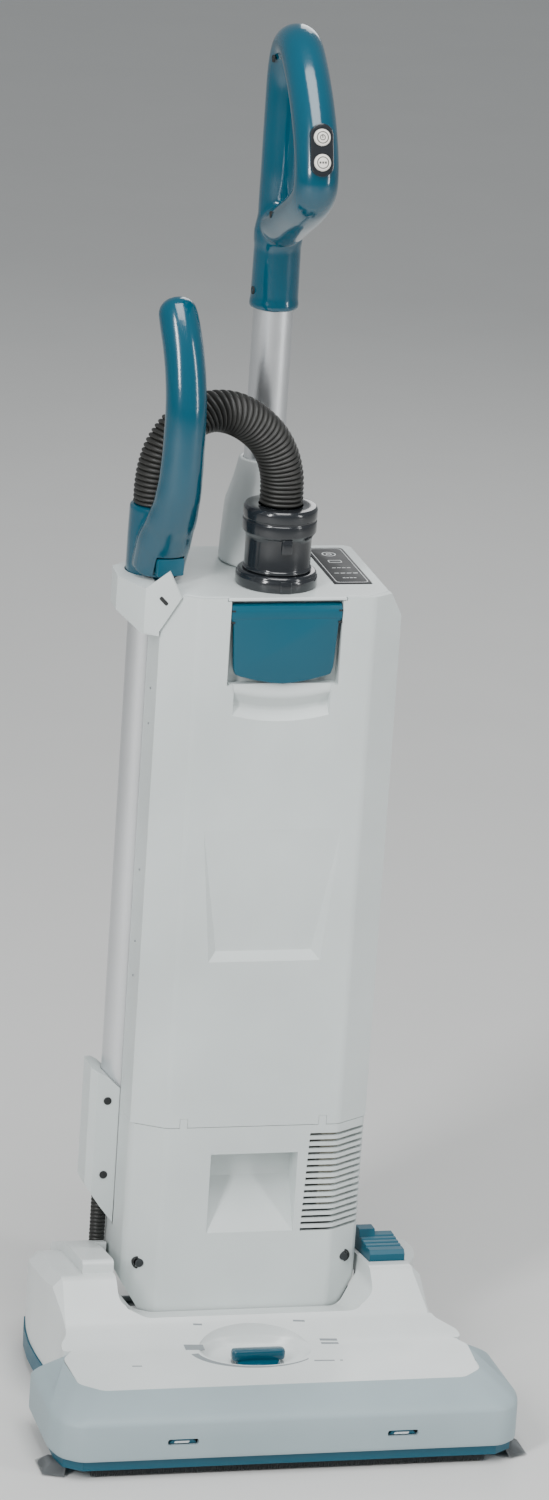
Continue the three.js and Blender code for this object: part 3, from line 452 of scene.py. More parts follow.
def edged(mesh, width, angle=28):
    """Breaks every edge sharper than an angle, and keeps the large faces' shading flat."""
    return worked(
        smoothed(mesh, 30),
        bevel(width, angle, use_clamp_overlap=True, loop_slide=False),
        ("TRIANGULATE", {"ngon_method": "BEAUTY", "min_vertices": 5}),
        ("WEIGHTED_NORMAL", {"keep_sharp": True, "weight": 80}),
    )


def refined(node, material, width=0.6, rounds=()):
    """The CAD node's shape as a moulded piece, with its edges broken."""
    piece(node + "_skin", softened(cleaned(node), width, rounds), body_of(node), material, [node])


def body_of(node):
    """The body that a CAD node belongs to."""
    bodies = frame["record"]["behaviour"]["bodies"]
    return next(body for body, nodes in bodies.items() if node in nodes)


def fused(meshes, rounds, voxel=1.5):
    """Overlapping solids melted into one moulded body."""
    return smoothed(worked(
        joined(*meshes),
        ("REMESH", {"mode": "VOXEL", "voxel_size": voxel * MM, "use_smooth_shade": True}),
        ("SMOOTH", {"factor": 0.5, "iterations": rounds}),
    ), 60)


def slab(outline, low, high, radius=0.8, axis="y", turn=None, at=(0, 0, 0)):
    """An outline in a plane pushed to a thin solid with softened edges; turn and at place it."""
    n = len(outline)
    verts = [ALONG[axis](a, b, h) for h in (low, high) for a, b in outline]
    faces = [tuple(range(n)), tuple(range(n, 2 * n))]
    faces += [(k, (k + 1) % n, n + (k + 1) % n, n + k) for k in range(n)]
    if turn is not None:
        verts = [turn @ v for v in verts]
    mesh = mesh_from([v + Vector(at) for v in verts], faces)
    if radius:
        mesh = worked(mesh, bevel(radius, 40))
    return smoothed(mesh, 40)


def washer(outer, inner, low, high, a=0.0, b=0.0, axis="y"):
    """A flat ring with a hole, round (a, b)."""
    return lathe(a, b, [(inner, low), (outer, low), (outer, high), (inner, high)], 40, axis)


# ---------- the stretch hose
# centre points from the cuff's mouth to the wand's socket
HOSE_ROUTE = [
    (0, 69.1, 799.3), (0, 69.3, 812), (-1, 70, 826), (-5.5, 72, 842), (-14.5, 76, 857), (-28, 81, 868.5),
    (-43, 86.5, 875), (-59, 92, 875), (-74, 97, 868.5), (-86.5, 100.5, 857), (-96, 102.8, 841),
    (-101, 103.8, 824), (-103, 104, 807), (-103, 104, 790.4),
]
HOSE_RADIUS = 19
RIB_DEPTH = 2.6


def stretch_hose():
    """A corrugated hose: rounded ribs with narrow valleys, along its arch."""
    pitch, per_rib = 4.1, 6
    _, total = spline(HOSE_ROUTE, 10)
    ribs = round(total / pitch)
    points, _ = spline(HOSE_ROUTE, ribs * per_rib + 1)

    def sizes(u):
        phase = (u * ribs) % 1.0
        rib = abs(sin(pi * phase)) ** 0.55
        radius = HOSE_RADIUS - RIB_DEPTH * (1 - rib)
        return radius, radius

    across = Vector((0.32, -0.947, 0))
    mesh = smoothed(skin(sweep(points, across, sizes, 40)), 70)
    thing = piece("stretch_hose", mesh, ("upright", "wand"), HOSE_BLACK, ["suction_hose"],
                  ends=(points[8], points[-8]))


# ---------- the body
def upright_edge(x_from, x_to, y_from, y_to):
    """Chooses the body's vertical edges inside a plan window, on either side."""
    def chosen(a, b):
        along = abs(a.z - b.z) > 0.9 * (a - b).length
        return along and x_from <= abs(a.x) <= x_to and y_from <= a.y <= y_to
    return chosen


FRONT_CORNERS = (upright_edge(76, 79, 23, 24), 3.0, 3)
SIDE_CORNERS = (upright_edge(106.5, 107.5, 41, 42), 5.0, 3)
REAR_CORNERS = (upright_edge(90, 107.5, 160, 181), 5.0, 3)


def deck_rim(a, b):
    """Chooses the edges round the top of the deck."""
    level = abs(a.z - DECK) < 0.2 and abs(b.z - DECK) < 0.2
    at_side, at_front = min(abs(a.x), abs(b.x)) > 60, max(a.y, b.y) < 30
    return level and min(a.y, b.y) < BODY_HIGH.y - 2 and (at_side or at_front)


HINGE_X = 63
SIDES = ((-1, "left"), (1, "right"))


def body_shells():
    """The housings, the deck, the bag door and the two ears of its hinge."""
    refined("lower_housing", WHITE, 0.5, rounds=[FRONT_CORNERS, SIDE_CORNERS])
    refined("rear_housing", WHITE, 0.5, rounds=[REAR_CORNERS])
    bag_door()
    refined("top_deck", WHITE, 0.9, rounds=[(deck_rim, 3.0, 3)])
    refined("battery_door", WHITE, 0.5)
    ears = joined(*[slab(rectangle(-3.3, 0, 3.3, 8.8), 23.42, 27, radius=0, at=(side * HINGE_X, 0, 241.6))
                    for side in (-1, 1)])
    piece("door_hinge_ears", ears, "upright", WHITE)


def bag_door():
    """The door, with a finger scoop under the latch that deepens to its bowed lower lip."""
    mesh = softened(cleaned("bag_door"), 0, rounds=[FRONT_CORNERS])
    mesh = combined(mesh, block(-47, 47, FRONT + 0.02, 34, 619, 650), "UNION")
    profile = rounded(
        [(15, 662), (28, 662), (28, 652), (24.1, 641), (24.1, 637.5), (30.4, 628), (30.4, 625), (15, 607)],
        [1, 1, 3, 3, 2, 3, 2, 1], 5)
    half, bow, lip_top, flare_from, flare, steps = 43, 5.5, 650, 640, 0.0022, 24

    def ring(x):
        rise = bow * (x / half) ** 2
        return [Vector((x * (1 + max(0, z - flare_from) * flare), y, z + (rise if z < lip_top else 0)))
                for y, z in profile]

    mesh = cut(mesh, skin([ring(-half + 2 * half * k / steps) for k in range(steps + 1)]))
    piece("bag_door_shell", edged(mesh, 0.7), "door", WHITE, ["bag_door"])


def housing_screws():
    """Two deep screw holes at the foot of the housing."""
    for side, name in SIDES:
        x, z = side * 93.5, 112
        section = [(0, 37.5), (6.1, 37.5), (6.1, 33.8), (4.6, 33.4), (4.6, 36.4), (0, 36.4)]
        well = turned(x, z, section, 28, "y")
        piece("screw_well_" + name, well, "upright", BLACK_MATTE)
        refined("housing_screw_" + name, DARK_STEEL, 0.3)


def door_latch():
    """The teal latch: a rolled top with notched ends above a plate that tapers to a bowed lower edge."""
    half, top, low = LATCH_HIGH.x, LATCH_HIGH.z, LATCH_LOW.z
    face, back = LATCH_LOW.y, LATCH_LOW.y + 8.4
    right = [(half, top - 1), (half, top - 15), (half - 2.2, top - 17), (half - 4.6, low + 15),
             (half - 6.4, low + 8.6), (half - 11, low + 6.8), (half - 26, low + 3.0), (9, low + 0.7)]
    outline = [(-x, z) for x, z in right] + [(0, low)] + right[::-1]
    plate = slab(outline, face + 0.6, back, radius=1.6)
    section = rounded(
        [(face + 4, top - 15), (face + 0.4, top - 13.4), (face, top - 9), (face + 0.2, top - 4),
         (face + 3.4, top - 0.2), (back, top), (back, top - 15)], [0.2, 1.5, 3, 3, 3, 0.4, 0.2], 4)
    roll = edged(prism("x", section, -half, half), 0.5, 40)
    piece("latch_plate", joined(plate, roll), "latch", TEAL_SATIN, ["door_latch"])
    notches = joined(*[
        slab(rectangle(-1.7, -0.8, 1.7, 0.8), face - 0.02, face + 3, radius=0,
             at=(side * (half - 1.4), 0, top - drop)) for side in (-1, 1) for drop in (5.5, 15.8)])
    piece("latch_notches", notches, "latch", BLACK_MATTE)


def deck_and_hose_parts():
    """The display with its plain signs, and the lock ring and cuff of the hose."""
    x0, y0 = PANEL_LOW.x, PANEL_LOW.y
    x1, y1 = PANEL_HIGH.x, PANEL_HIGH.y
    top = PANEL_HIGH.z
    plate = slab(rounded(rectangle(x0, y0, x1, y1), 5, 4), top - 2.2, top, radius=0.4, axis="z")
    piece("display_glass", plate, "upright", DISPLAY, ["display_panel"])
    lit, mid = top + 0.06, (x0 + x1) / 2
    cell = rounded(rectangle(-6, -3.6, 6, 3.6), 1.4, 2)
    marks = [
        frame_line(rounded(rectangle(x0 + 2.5, y0 + 3, x1 - 2.5, y1 - 3), 4, 4), 0.5, lit),
        washer(6.2, 5.3, lit - 0.3, lit, mid, y0 + 88, "z"),
        washer(2.6, 1.7, lit - 0.3, lit, mid, y0 + 88, "z"),
        frame_line([(mid + a, y0 + 66 + b) for a, b in cell], 0.7, lit),
    ]
    for row, width in ((46, 15), (30, 19), (16, 11)):
        for k in range(4):
            a, b = mid - width / 2 + k * width / 3.4, y0 + row
            marks.append(slab(rectangle(a, b, a + width / 4.6, b + 1.1), lit - 0.3, lit, 0, "z"))
    piece("display_marks", joined(*marks), "upright", MARK_WHITE)

    x, y = PORT.x, PORT.y
    foot = DECK + 0.3
    ring = [(24.4, foot), (35.6, foot), (35.6, 737), (34.6, 738.5), (34.6, 740), (33, 741.6), (24.4, 741.6)]
    lock = lathe(x, y, rounded(ring, 0.8, 2), 96)
    tab = slab(rounded([(-6, -33), (6, -33), (5, -36.4), (-5, -36.4)], 1, 2), foot, 739, axis="z",
               at=(x, y, 0))
    piece("lock_collar", joined(lock, tab), "lock", BLACK, ["lock_ring"])
    cuff = [(19.5, 700), (24, 700), (24, 742.2), (30, 742.2), (30, 744.5), (28.8, 745.5), (28.8, 770),
            (29.6, 773), (32.3, 776.5), (32.3, 786), (31.5, 786.6), (31.5, 788.4), (32.3, 789), (32.3, 796.2),
            (30.6, 799), (19.5, 799)]
    body = lathe(x, y, rounded(cuff, 0.7, 2), 96)
    catch = slab(rounded([(-5, -29.5), (5, -29.5), (4.4, -32.2), (-4.4, -32.2)], 1, 2), 762, 775, axis="z",
                 at=(x, y, 0))
    piece("cuff", joined(body, catch), "upright", BLACK, ["hose_cuff"])


def frame_line(outline, width, top):
    """A thin raised line that runs round an outline."""
    x, y = sum(a for a, _ in outline) / len(outline), sum(b for _, b in outline) / len(outline)
    inner = [(a - copysign(width, a - x), b - copysign(width, b - y)) for a, b in outline]
    rings = [[Vector((p[0], p[1], z)) for p in points] for points, z in
             ((inner, top - 0.3), (outline, top - 0.3), (outline, top), (inner, top))]
    return skin(rings, closed=True)


# ---------- the handle
LOOP = [
    (0, 136, 1035), (0, 137, 1080), (0, 137, 1130), (0, 135.5, 1166), (0, 125, 1188), (0, 104, 1192.1),
    (0, 80, 1178), (0, 54, 1154), (0, 34, 1127), (0, 24, 1102), (0, 27, 1083), (0, 50, 1066), (0, 86, 1048),
    (0, 118, 1033),
]
LOOP_WIDE, LOOP_DEEP = 18.8, 17.7
BAR_SEAT = Matrix.Translation((0, 10.8, 1124.5)) @ Matrix.Rotation(-atan2(13, 41), 4, "X")
BUTTON_RISE = 10.6


def placed(mesh, matrix):
    """A mesh given in millimetres round its own origin, moved to its place."""
    mesh.transform(Matrix.Translation(matrix.to_translation() * MM) @ matrix.to_3x3().to_4x4())
    return mesh


def handle():
    """The looped grip, its tube and the socket on the deck."""
    points, _ = spline(LOOP, 120, closed=True)
    rings = sweep(points, Vector((1, 0, 0)), lambda u: (LOOP_WIDE, LOOP_DEEP), 36, closed=True)
    loop = skin(rings, closed=True)
    y = TUBE.y
    sleeve = turned(0, y, [(0.1, 956), (20.8, 956), (21.5, 957), (21.5, 962), (20.9, 964), (20.4, 1010),
                           (21.2, 1016), (21.2, 1024), (19, 1036), (17.6, 1050), (0.1, 1050)], 48)
    fin = slab(rounded([(y + 8, 958), (y + 21.4, 962), (y + 21.4, 1026), (y + 10, 1034)], 4, 3), -3.5, 3.5,
               radius=1.5, axis="x")
    grip = fused([loop, sleeve, fin], rounds=8)
    for rise in (BUTTON_RISE, -BUTTON_RISE):
        grip = cut(grip, placed(button_well(rise), BAR_SEAT))
    piece("handle_grip", smoothed(grip, 50), "upright", TEAL,
          ["handle_shell_left", "handle_shell_right"])
    screws = [((-20.6, y - 4, 972), 3.4), ((-18.6, 121, 1178), 3.2), ((-18.5, 96, 1048), 3.0)]
    holes = joined(*[screw_hole(at, r) for at, r in screws])
    piece("handle_screw_holes", holes, "upright", BLACK_MATTE)
    tube = lathe(0, y, rectangle(16, 702, 17.5, 1008), 96)
    piece("handle_post", tube, "upright", ANODISED, ["handle_tube"])
    foot = DECK + 0.3
    socket = lathe(0, y, rounded([(17.8, foot), (34.5, foot), (34, 745), (31.8, 782), (26, 801), (21.3, 822),
                                  (17.8, 822)], 4, 4), 96)
    socket = cut(socket, *[turned(PORT.x, PORT.y, rectangle(0.01, low, radius, high), 96)
                           for radius, low, high in ((36.2, 700, 744), (32.9, 740, 860))])
    piece("post_socket", smoothed(socket, 30), "upright", WHITE_SMOOTH, ["tube_socket"])
    control_pill()


def screw_hole(at, radius):
    """A dark screw hole on a side that faces -X."""
    x, y, z = at
    section = ((radius, 0.9), (radius, -0.6), (radius * 0.72, -0.6), (radius * 0.62, 0.6))
    return skin([[Vector((x + out, y + r * c, z + r * s)) for c, s in directions(20)] for r, out in section])


def button_well(rise):
    """The round well that a button of the handle moves in."""
    return turned(0, rise, rectangle(0.05, -4, 7.7, 4), 40, "y")


def control_pill():
    """The dark plate with its two round buttons and their signs."""
    radius, straight, steps = 9.8, 12.6, 40
    outline = []
    for k in range(steps + 1):
        t, shift = tau * k / steps, straight if k < steps / 2 else -straight
        outline.append((radius * cos(t), radius * sin(t) + shift))
    plate = cut(slab(outline, -0.9, 6, radius=0.7), button_well(BUTTON_RISE), button_well(-BUTTON_RISE))
    piece("control_plate", placed(smoothed(plate, 40), BAR_SEAT), "upright", BLACK, ["control_panel"])
    cap = [(0.05, -2.3), (5.4, -2.2), (6.6, -1.8), (7.2, -1.1), (7.4, -0.2), (7.4, 2), (0.05, 2)]
    for node, rise in (("power_button", BUTTON_RISE), ("mode_button", -BUTTON_RISE)):
        seat = BAR_SEAT @ Matrix.Translation((0, 0, rise))
        body = body_of(node)
        piece(node + "_cap", placed(turned(0, 0, cap, 48, "y"), seat), body, IVORY, [node])
        marks = [washer(5.2, 4.4, -2.36, -2.0)]
        if rise > 0:
            marks += [slab(rectangle(-0.4, -0.6, 0.4, 2.6), -2.4, -2, 0), washer(2.5, 1.8, -2.4, -2.0)]
        else:
            marks += [slab(rectangle(a, -0.9, a + 1.5, 0.9), -2.4, -2, 0) for a in (-3.1, -0.75, 1.6)]
        piece(node + "_marks", placed(joined(*marks), seat), body, BLACK_MATTE)


# ---------- the wand
BOW = radians(10)
BOW_AHEAD = Vector((sin(BOW), -cos(BOW), 0))
BOW_ACROSS = Vector((cos(BOW), sin(BOW), 0))
GRIP = [
    # distance ahead of the tube's axis, height, half width, half depth
    (15, 737, 23, 22), (22, 757, 23.5, 22), (33, 777, 22, 19.5), (44, 797, 20, 18.2),
    (51, 822, 18.8, 17.5), (54, 855, 18.2, 17.2), (54, 888, 18, 17), (49, 915, 17.7, 17),
    (40, 939, 17.5, 17), (28, 960, 17.5, 16.6), (17, 975, 16.5, 15.5),
]
TIP_FROM = 0.955  # where the handle's end begins to round off
CUP_RIM = 733.8
CUP_REACH = 22.6


def wand_point(ahead, z):
    """A point at a height, ahead of the wand tube's axis in the plane of its handle."""
    return Vector((WAND.x, WAND.y, z)) + BOW_AHEAD * ahead


def wand():
    """The bowed wand handle with its button, and the tube."""
    points, _ = spline([wand_point(d, z) for d, z, _, _ in GRIP], 60)

    def sizes(u):
        at = u * (len(GRIP) - 1)
        k = min(int(at), len(GRIP) - 2)
        t = at - k
        t = t * t * (3 - 2 * t)
        wide = GRIP[k][2] + (GRIP[k + 1][2] - GRIP[k][2]) * t
        deep = GRIP[k][3] + (GRIP[k + 1][3] - GRIP[k][3]) * t
        end = max(0.0, (u - TIP_FROM) / (1 - TIP_FROM))
        shrink = sqrt(max(0.0, 1 - (end * 0.82) ** 2))
        return wide * shrink, deep * shrink

    grip = skin(sweep(points, BOW_ACROSS, sizes, 36))
    base = turned(WAND.x, WAND.y, [(0.05, 700), (21.4, 700), (22.2, 704), (22.2, 760), (21.6, 789),
                                   (20.4, 790.2), (0.05, 790.2)], 48)
    handle_mesh = fused([grip, base], rounds=6)
    for vertex in handle_mesh.vertices:
        out = (Vector((vertex.co.x, vertex.co.y)) / MM - Vector((WAND.x, WAND.y))).length
        if vertex.co.z < CUP_RIM * MM and out > CUP_REACH:
            vertex.co.z = CUP_RIM * MM
    seat = wand_point(40, 744.5)
    turn = Matrix.Rotation(BOW, 3, "Z")
    recess = slab(rectangle(-13, -8.9, 13, 8.9), -9, 7, radius=0, turn=turn, at=seat)
    handle_mesh = smoothed(cut(handle_mesh, recess), 50)
    piece("wand_grip", handle_mesh, "wand", TEAL, ["wand_handle"])
    button = slab(rounded(rectangle(-12.2, -8.1, 12.2, 7.4), 1.6, 3), -3.4, 3.3, radius=1.0, turn=turn,
                  at=seat)
    piece("wand_release_button", button, "wand_release", TEAL_SATIN, ["wand_button"])
    tube = lathe(WAND.x, WAND.y, rectangle(16, 150, 17.5, 716), 96)
    piece("wand_pipe", tube, "wand", ANODISED, ["wand_tube"])


CORNER = Matrix.Translation((-107 + 29.3, FRONT, 0)) @ Matrix.Rotation(atan2(18.1, -29.3), 4, "Z")


def wand_mounts():
    """The cup and the bracket that hold the wand, with their screws."""
    refined("wand_cup", WHITE, 1.6)
    refined("wand_bracket", WHITE, 1.6)
    slot_mark = slab(rounded(rectangle(-4.6, -1.8, 4.6, 1.8), 1.7, 4), 3.3, 3.55, radius=0)
    slot_mark.transform(Matrix.Rotation(radians(-40), 4, "Y"))
    slot_mark.transform(Matrix.Translation(Vector((31.5, 0, 722)) * MM))
    piece("cup_screw", placed(slot_mark, CORNER), "upright", BLACK_MATTE)
    hole = [(0.05, 85.5), (3.6, 85.5), (3.6, 83.6), (2.4, 83.4), (0.05, 83.5)]
    holes = joined(*[turned(-118, z, hole, 20, "y") for z in (246, 176)])
    piece("bracket_screws", holes, "upright", BLACK_MATTE)
    dots = joined(*[screw_hole((-107.25, 62, z), 0.9) for z in (636, 604, 470, 404, 372)])
    piece("side_dots", dots, "upright", MARK_AND_SHADE_GREY)


def duct():
    """The short corrugated hose from the head to the wand's socket."""
    low, high = span("duct_hose")
    x, y = (low.x + high.x) / 2, (low.y + high.y) / 2
    radius, depth, pitch, per_rib, inset = 7.0, 1.1, 3.6, 6, 6
    count = round((high.z - low.z) / pitch) * per_rib
    profile = [(radius - depth * (1 - abs(sin(pi * k / per_rib)) ** 0.6),
                low.z + (high.z - low.z) * k / count) for k in range(count + 1)]
    piece("duct", turned(x, y, profile, 32), ("head", "upright"), HOSE_BLACK,
          ["duct_hose"], ends=(Vector((x, y, low.z + inset)), Vector((x, y, high.z - inset))))


# ---------- the floor head
def mirrored(points):
    """A plan outline made whole from its right half."""
    return [*points, *[(-x, y) for x, y in reversed(points)]]


COVER_PLAN = mirrored([(161, -141), (179.5, -124), (182, -73), (173, -59)])
BUMPER_PLAN = mirrored([(187.7, -179.9), (203, -168), (209.3, -145), (207.5, -60)])
SLOT_X = 97.75
BOWL_X, BOWL_Y = -9, -68
# The cover's side view as (y, z), from the front to the rear.
RAMP = [(-141, 20), (-141, 66), (-58, 69.3), (-30, 80), (3, 113.2), (60, 105.5), (96, 99.5), (120, 90.5),
        (140, 82), (140, 20)]
# The outlines of the shoulders in plan.
RIGHT_SIDE = [(179.6, -59.7), (179.6, -50), (158, -30), (156.5, 5), (157, 40), (170, 68), (176.5, 96),
              (169, 140)]
LEFT_SIDE = [(-169, 140), (-177, 100), (-180, 70), (-180, 40), (-178, 5), (-172, -25), (-172, -38),
             (-179.6, -50), (-179.6, -59.7)]
# The rounded top edge of the shoulders as (y, left side, right side, top, chamfer).
CHAMFER = [
    (-200, -190, 190, 190, 0), (-31, -190, 190, 190, 0), (-30, -172, 158, 80, 0.5),
    (3, -178, 156.5, 113.2, 9), (40, -180, 157, 108.4, 9), (68, -180, 170, 104.2, 9),
    (98, -177, 176.5, 99, 9), (140, -169, 169, 82, 8),
]
# The raised pads on the shoulders in side view.
HUMP_REAR = [(120, 98.5), (134, 93), (140, 87), (140, 79), (120, 87.5), (96, 96.5)]
LEFT_HUMP = [(13, 109), (13, 121), (17, 123), (60, 116.5), (100, 107), *HUMP_REAR, (60, 102)]
RIGHT_HUMP = [(92, 97), (92, 99.5), (100, 103.5), *HUMP_REAR]


def grown(plan, d, rear=None):
    """A plan outline moved outwards by d, and its rear end by rear."""
    rear = d if rear is None else rear
    return [(x + d * copysign(1, x), y - d if y < -100 else y + rear) for x, y in plan]


def prism(axis, outline, low, high):
    """A solid from an outline: (y, z) along X, (x, z) along Y or (x, y) along Z."""
    return skin([[ALONG[axis](a, b, h) for a, b in outline] for h in (low, high)])


def block(x0, x1, y0, y1, z0, z1):
    """A plain box."""
    return prism("z", rectangle(x0, y0, x1, y1), z0, z1)


def bumper():
    """The wrap-round bumper: an upright band, a crease and a slope up to the cover."""
    def round_the_front(plan, radius):
        half = len(plan) // 2
        return rounded(plan[:half][::-1] + plan[half:][::-1], radius, 4, closed=False)

    outer = round_the_front(BUMPER_PLAN, 7)
    inner = round_the_front(grown(BUMPER_PLAN, -5, 0), 5)
    top_outer = round_the_front(grown(COVER_PLAN, 1, 0), 5)
    top_inner = round_the_front(grown(COVER_PLAN, 0.4, 0), 5)
    for plan in (outer, inner, top_outer, top_inner):
        plan[0], plan[-1] = (plan[0][0], -60), (plan[-1][0], -60)
    section = rounded([(0.012, 18), (0, 20), (0, 54), (1, 67.3)], 5, 4, closed=False)

    def between_plans(low, high, f, z):
        return [Vector((a + (c - a) * f, b + (d - b) * f, z)) for (a, b), (c, d) in zip(low, high)]

    def ring(f, z):
        rise = min(1, max(0, (z - 50) / 12))
        return between_plans(outer, top_outer, f, z) + between_plans(inner, top_inner, rise, z)[::-1]

    mesh = skin([ring(f, z) for f, z in section])
    mesh = cut(mesh, *[prism("y", rounded(rectangle(x - 13.7, 30.9, x + 13.7, 36.5), 2.2, 3), -200, -150)
                       for x in (-SLOT_X, SLOT_X)])
    piece("bumper_band", smoothed(mesh, 32), "head", BUMPER_GREY, ["bumper"])
    for x, name in ((-SLOT_X, "left"), (SLOT_X, "right")):
        back = block(x - 16, x + 16, -174.5, -173, 27, 40)
        piece("slot_back_" + name, back, "head", BLACK_MATTE)
        tab = slab(rounded([(x - 12.5, 31.6), (x + 12.5, 31.6), (x + 9, 35.6), (x - 9, 35.6)], 1.2, 2),
                   -177.6, -173, radius=0.5)
        piece("slot_tab_" + name, tab, "head", TEAL_SATIN, ["bumper_clip_" + name])
        # The bright sliver over each clip is a painted highlight, not a part of the clip.
        glint_patch = slab(rounded([(x - 8, 32.2), (x + 5, 32.2), (x + 6, 34.2), (x - 7, 34.2)], 0.8, 2),
                     -178.3, -177, radius=0.3)
        piece("slot_painted_glint_" + name, glint_patch, "head", PAINTED_GLINT)


def head_cover():
    """The white cover: two ramps up to the shoulders and a valley for the body's foot."""
    def sides(d):
        return [(x + d * copysign(1, x), y if d == 0 else -70 if y < -59 else 150 if y > 139 else y)
                for x, y in RIGHT_SIDE + LEFT_SIDE]

    corners = [1, 2, 9, 7, 6, 20, 20, 14, 6, 1]
    ramp = rounded(RAMP, corners, 6)
    under = rounded([(y + 3 if y < 30 else y - 3, z - 3.5) for y, z in RAMP], corners, 6)
    front = rounded(COVER_PLAN, 5, 4)

    def chamfered(d):
        rings, past = [], 12
        for y, left, right, top, c in CHAMFER:
            a, b, h = left + d - past, right - d + past, top - d
            inward, low, high = c + 2 * past, h - c - past, h + past
            rings.append([Vector((x, y, z)) for x, z in (
                (a, -5), (a, low), (a + inward, high), (b - inward, high), (b, low), (b, -5))])
        return skin(rings)

    def body(plan, side_plan, profile):
        whole = combined(prism("z", plan, 0, 200), prism("z", rounded(side_plan, 9, 5), 0, 200), "UNION")
        return combined(whole, prism("x", profile, -200, 200), "INTERSECT")

    def valley(drop):
        def ring(y, floor, left):
            base, right, left = floor - drop, 110 + drop, -left - drop
            outline = [(-98, base), (91, base), (right, 96), (right, 140), (left, 140), (left, 96)]
            return [Vector((x, y, z)) for x, z in rounded(outline, 6, 4)]

        return combined(skin([ring(-26, 84, 121), ring(24, 68.5, 121), ring(88, 68.5, 121)]),
                        skin([ring(60, 68.5, 110), ring(210, 68.5, 110)]), "UNION")

    def bowl(*rings):
        return skin([[Vector((BOWL_X + a * c, BOWL_Y + b * s, z)) for c, s in directions(64)]
                     for z, a, b in rings])

    outer = combined(body(front, sides(0), ramp), chamfered(0), "INTERSECT")
    inner = cut(body(grown(COVER_PLAN, -4), sides(-3.5), under), valley(3.5))
    inner = cut(combined(inner, chamfered(3), "INTERSECT"), bowl((50, 44, 33), (66, 58, 40), (95, 62, 42)))
    made = cut(outer, inner)
    made = combined(made, prism("x", rounded(LEFT_HUMP, 3, 4), -149, -110.5), "UNION")
    made = combined(made, prism("x", rounded(RIGHT_HUMP, 2, 3), 110.5, 126), "UNION")
    foot = mirrored([(79.3, FRONT - 2.2), (109.2, 40.5), (109.2, 160)])
    made = cut(
        made, valley(0), prism("z", foot, 0, 200), block(-110, 110, 60, 160, 0, 200),
        block(-200, 200, -150, -86, 0, 60.5),
        block(-230, 230, -200, -57.7, 0, 47.6), block(-230, 230, -60, 200, 0, 24.3),
        block(-200, 200, 126, 160, 0, 78), block(113.8, 147.2, 19.4, 80.6, 90, 130),
        block(113.6, 121.2, 100, 160, 0, 91.5), block(-121.2, -113.6, 100, 160, 0, 91.5),
        turned(-115.4, 106, rectangle(0.05, 60, 7.8, 130), 32),
        bowl((60.6, 38, 30.5), (61.1, 41, 31), (62.6, 44, 31.6), (66.2, 47, 32.4), (67.6, 48.5, 32.8),
             (69.4, 51, 33.4), (76, 53, 34.6), (95, 56, 36)),
    )
    piece("cover_shell", edged(made, 0.8, 34), "head", WHITE_SMOOTH, ["head_cover"])

    def height(y):
        """The height of the cover's top at a place on the front slope."""
        for (y0, z0), (y1, z1) in zip(ramp, ramp[1:]):
            if y0 < y <= y1:
                return z0 + (z1 - z0) * (y - y0) / (y1 - y0)

    def mark_and_shade_patch(outline, sunk=0.4, proud=0.14):
        return skin([[Vector((x, y, height(y) + d)) for x, y in outline] for d in (-sunk, proud)])

    def bar(x, y, wide, deep):
        skew = wide * 0.07
        return mark_and_shade_patch([(x, y), (x + wide, y - skew), (x + wide, y + deep - skew), (x, y + deep)])

    # The grey crescent along the bowl's front rim is painted shade; the small bars are printed marks.
    arc = [radians(188 + 5.5 * k) for k in range(25)]
    outer_shade_arc = [(-11 + 57.5 * cos(t), -68 + 37 * sin(t)) for t in arc]
    inner_shade_arc = [(-8 + 54 * cos(t), -67.5 + 34.9 * sin(t)) for t in arc]
    marks = joined(mark_and_shade_patch(outer_shade_arc + inner_shade_arc[::-1]), *[bar(*sizes) for sizes in (
        (-71, -64.5, 17, 8.5), (52, -63, 15.5, 3), (52, -57.5, 15.5, 3), (37.5, -96, 18, 2),
        (60.5, -97.3, 2.4, 2), (-57.5, -33.4, 8, 1.6), (33, -33.4, 10.5, 1.6), (-125.3, -93.4, 8.7, 1.8))])
    piece("cover_marks_and_painted_shade", marks, "head", MARK_AND_SHADE_GREY)


def pedal_and_knob():
    """The ribbed release pedal, and the height knob with a grey ring of painted shadow round its foot."""
    steps = [(20.1, 98), (20.1, 117), (23.6, 120.3)]
    for k in range(4):
        y = 31 + k * 8
        steps += [(y, 120.2), (y + 0.9, 118.8), (y + 3.1, 118.8), (y + 4, 120.1)]
    steps += [(69, 119.7), (78.6, 113), (79.8, 104), (63, 98)]
    raised = [(56, 116), (61, 125.4), (73, 124.9), (78.6, 117), (78.6, 110), (60, 110)]
    mesh = combined(prism("x", steps, 114.5, 146.5), prism("x", raised, 114.5, 129), "UNION")
    piece("pedal", edged(mesh, 0.9, 30), "pedal", TEAL_SATIN, ["release_pedal"])
    x, y = KNOB.x, KNOB.y
    # The grey ring round the dial's foot is painted shadow, for the dark gap between the dial and the bowl
    # floor.
    seat = lathe(x, y, rounded(rectangle(20.6, 60.2, 23.4, 61), 0.2, 2))
    piece("knob_foot_painted_shadow", seat, "head", MARK_AND_SHADE_GREY)
    dial = turned(x, y, [(0.05, 60.9), (20, 60.9), (20.2, 62.2), (19, 63.8), (16, 64.6), (0.05, 64.9)])
    bar = slab(rounded(rectangle(-24, -6, 24, 6), 5, 5), 63.8, 73.2, radius=2.2, axis="z", at=(x, y, 0))
    shaft = turned(x, y, rectangle(0.05, 20, 5, 62), 32)
    piece("knob", joined(dial, bar, shaft), "knob", TEAL, ["height_knob"])


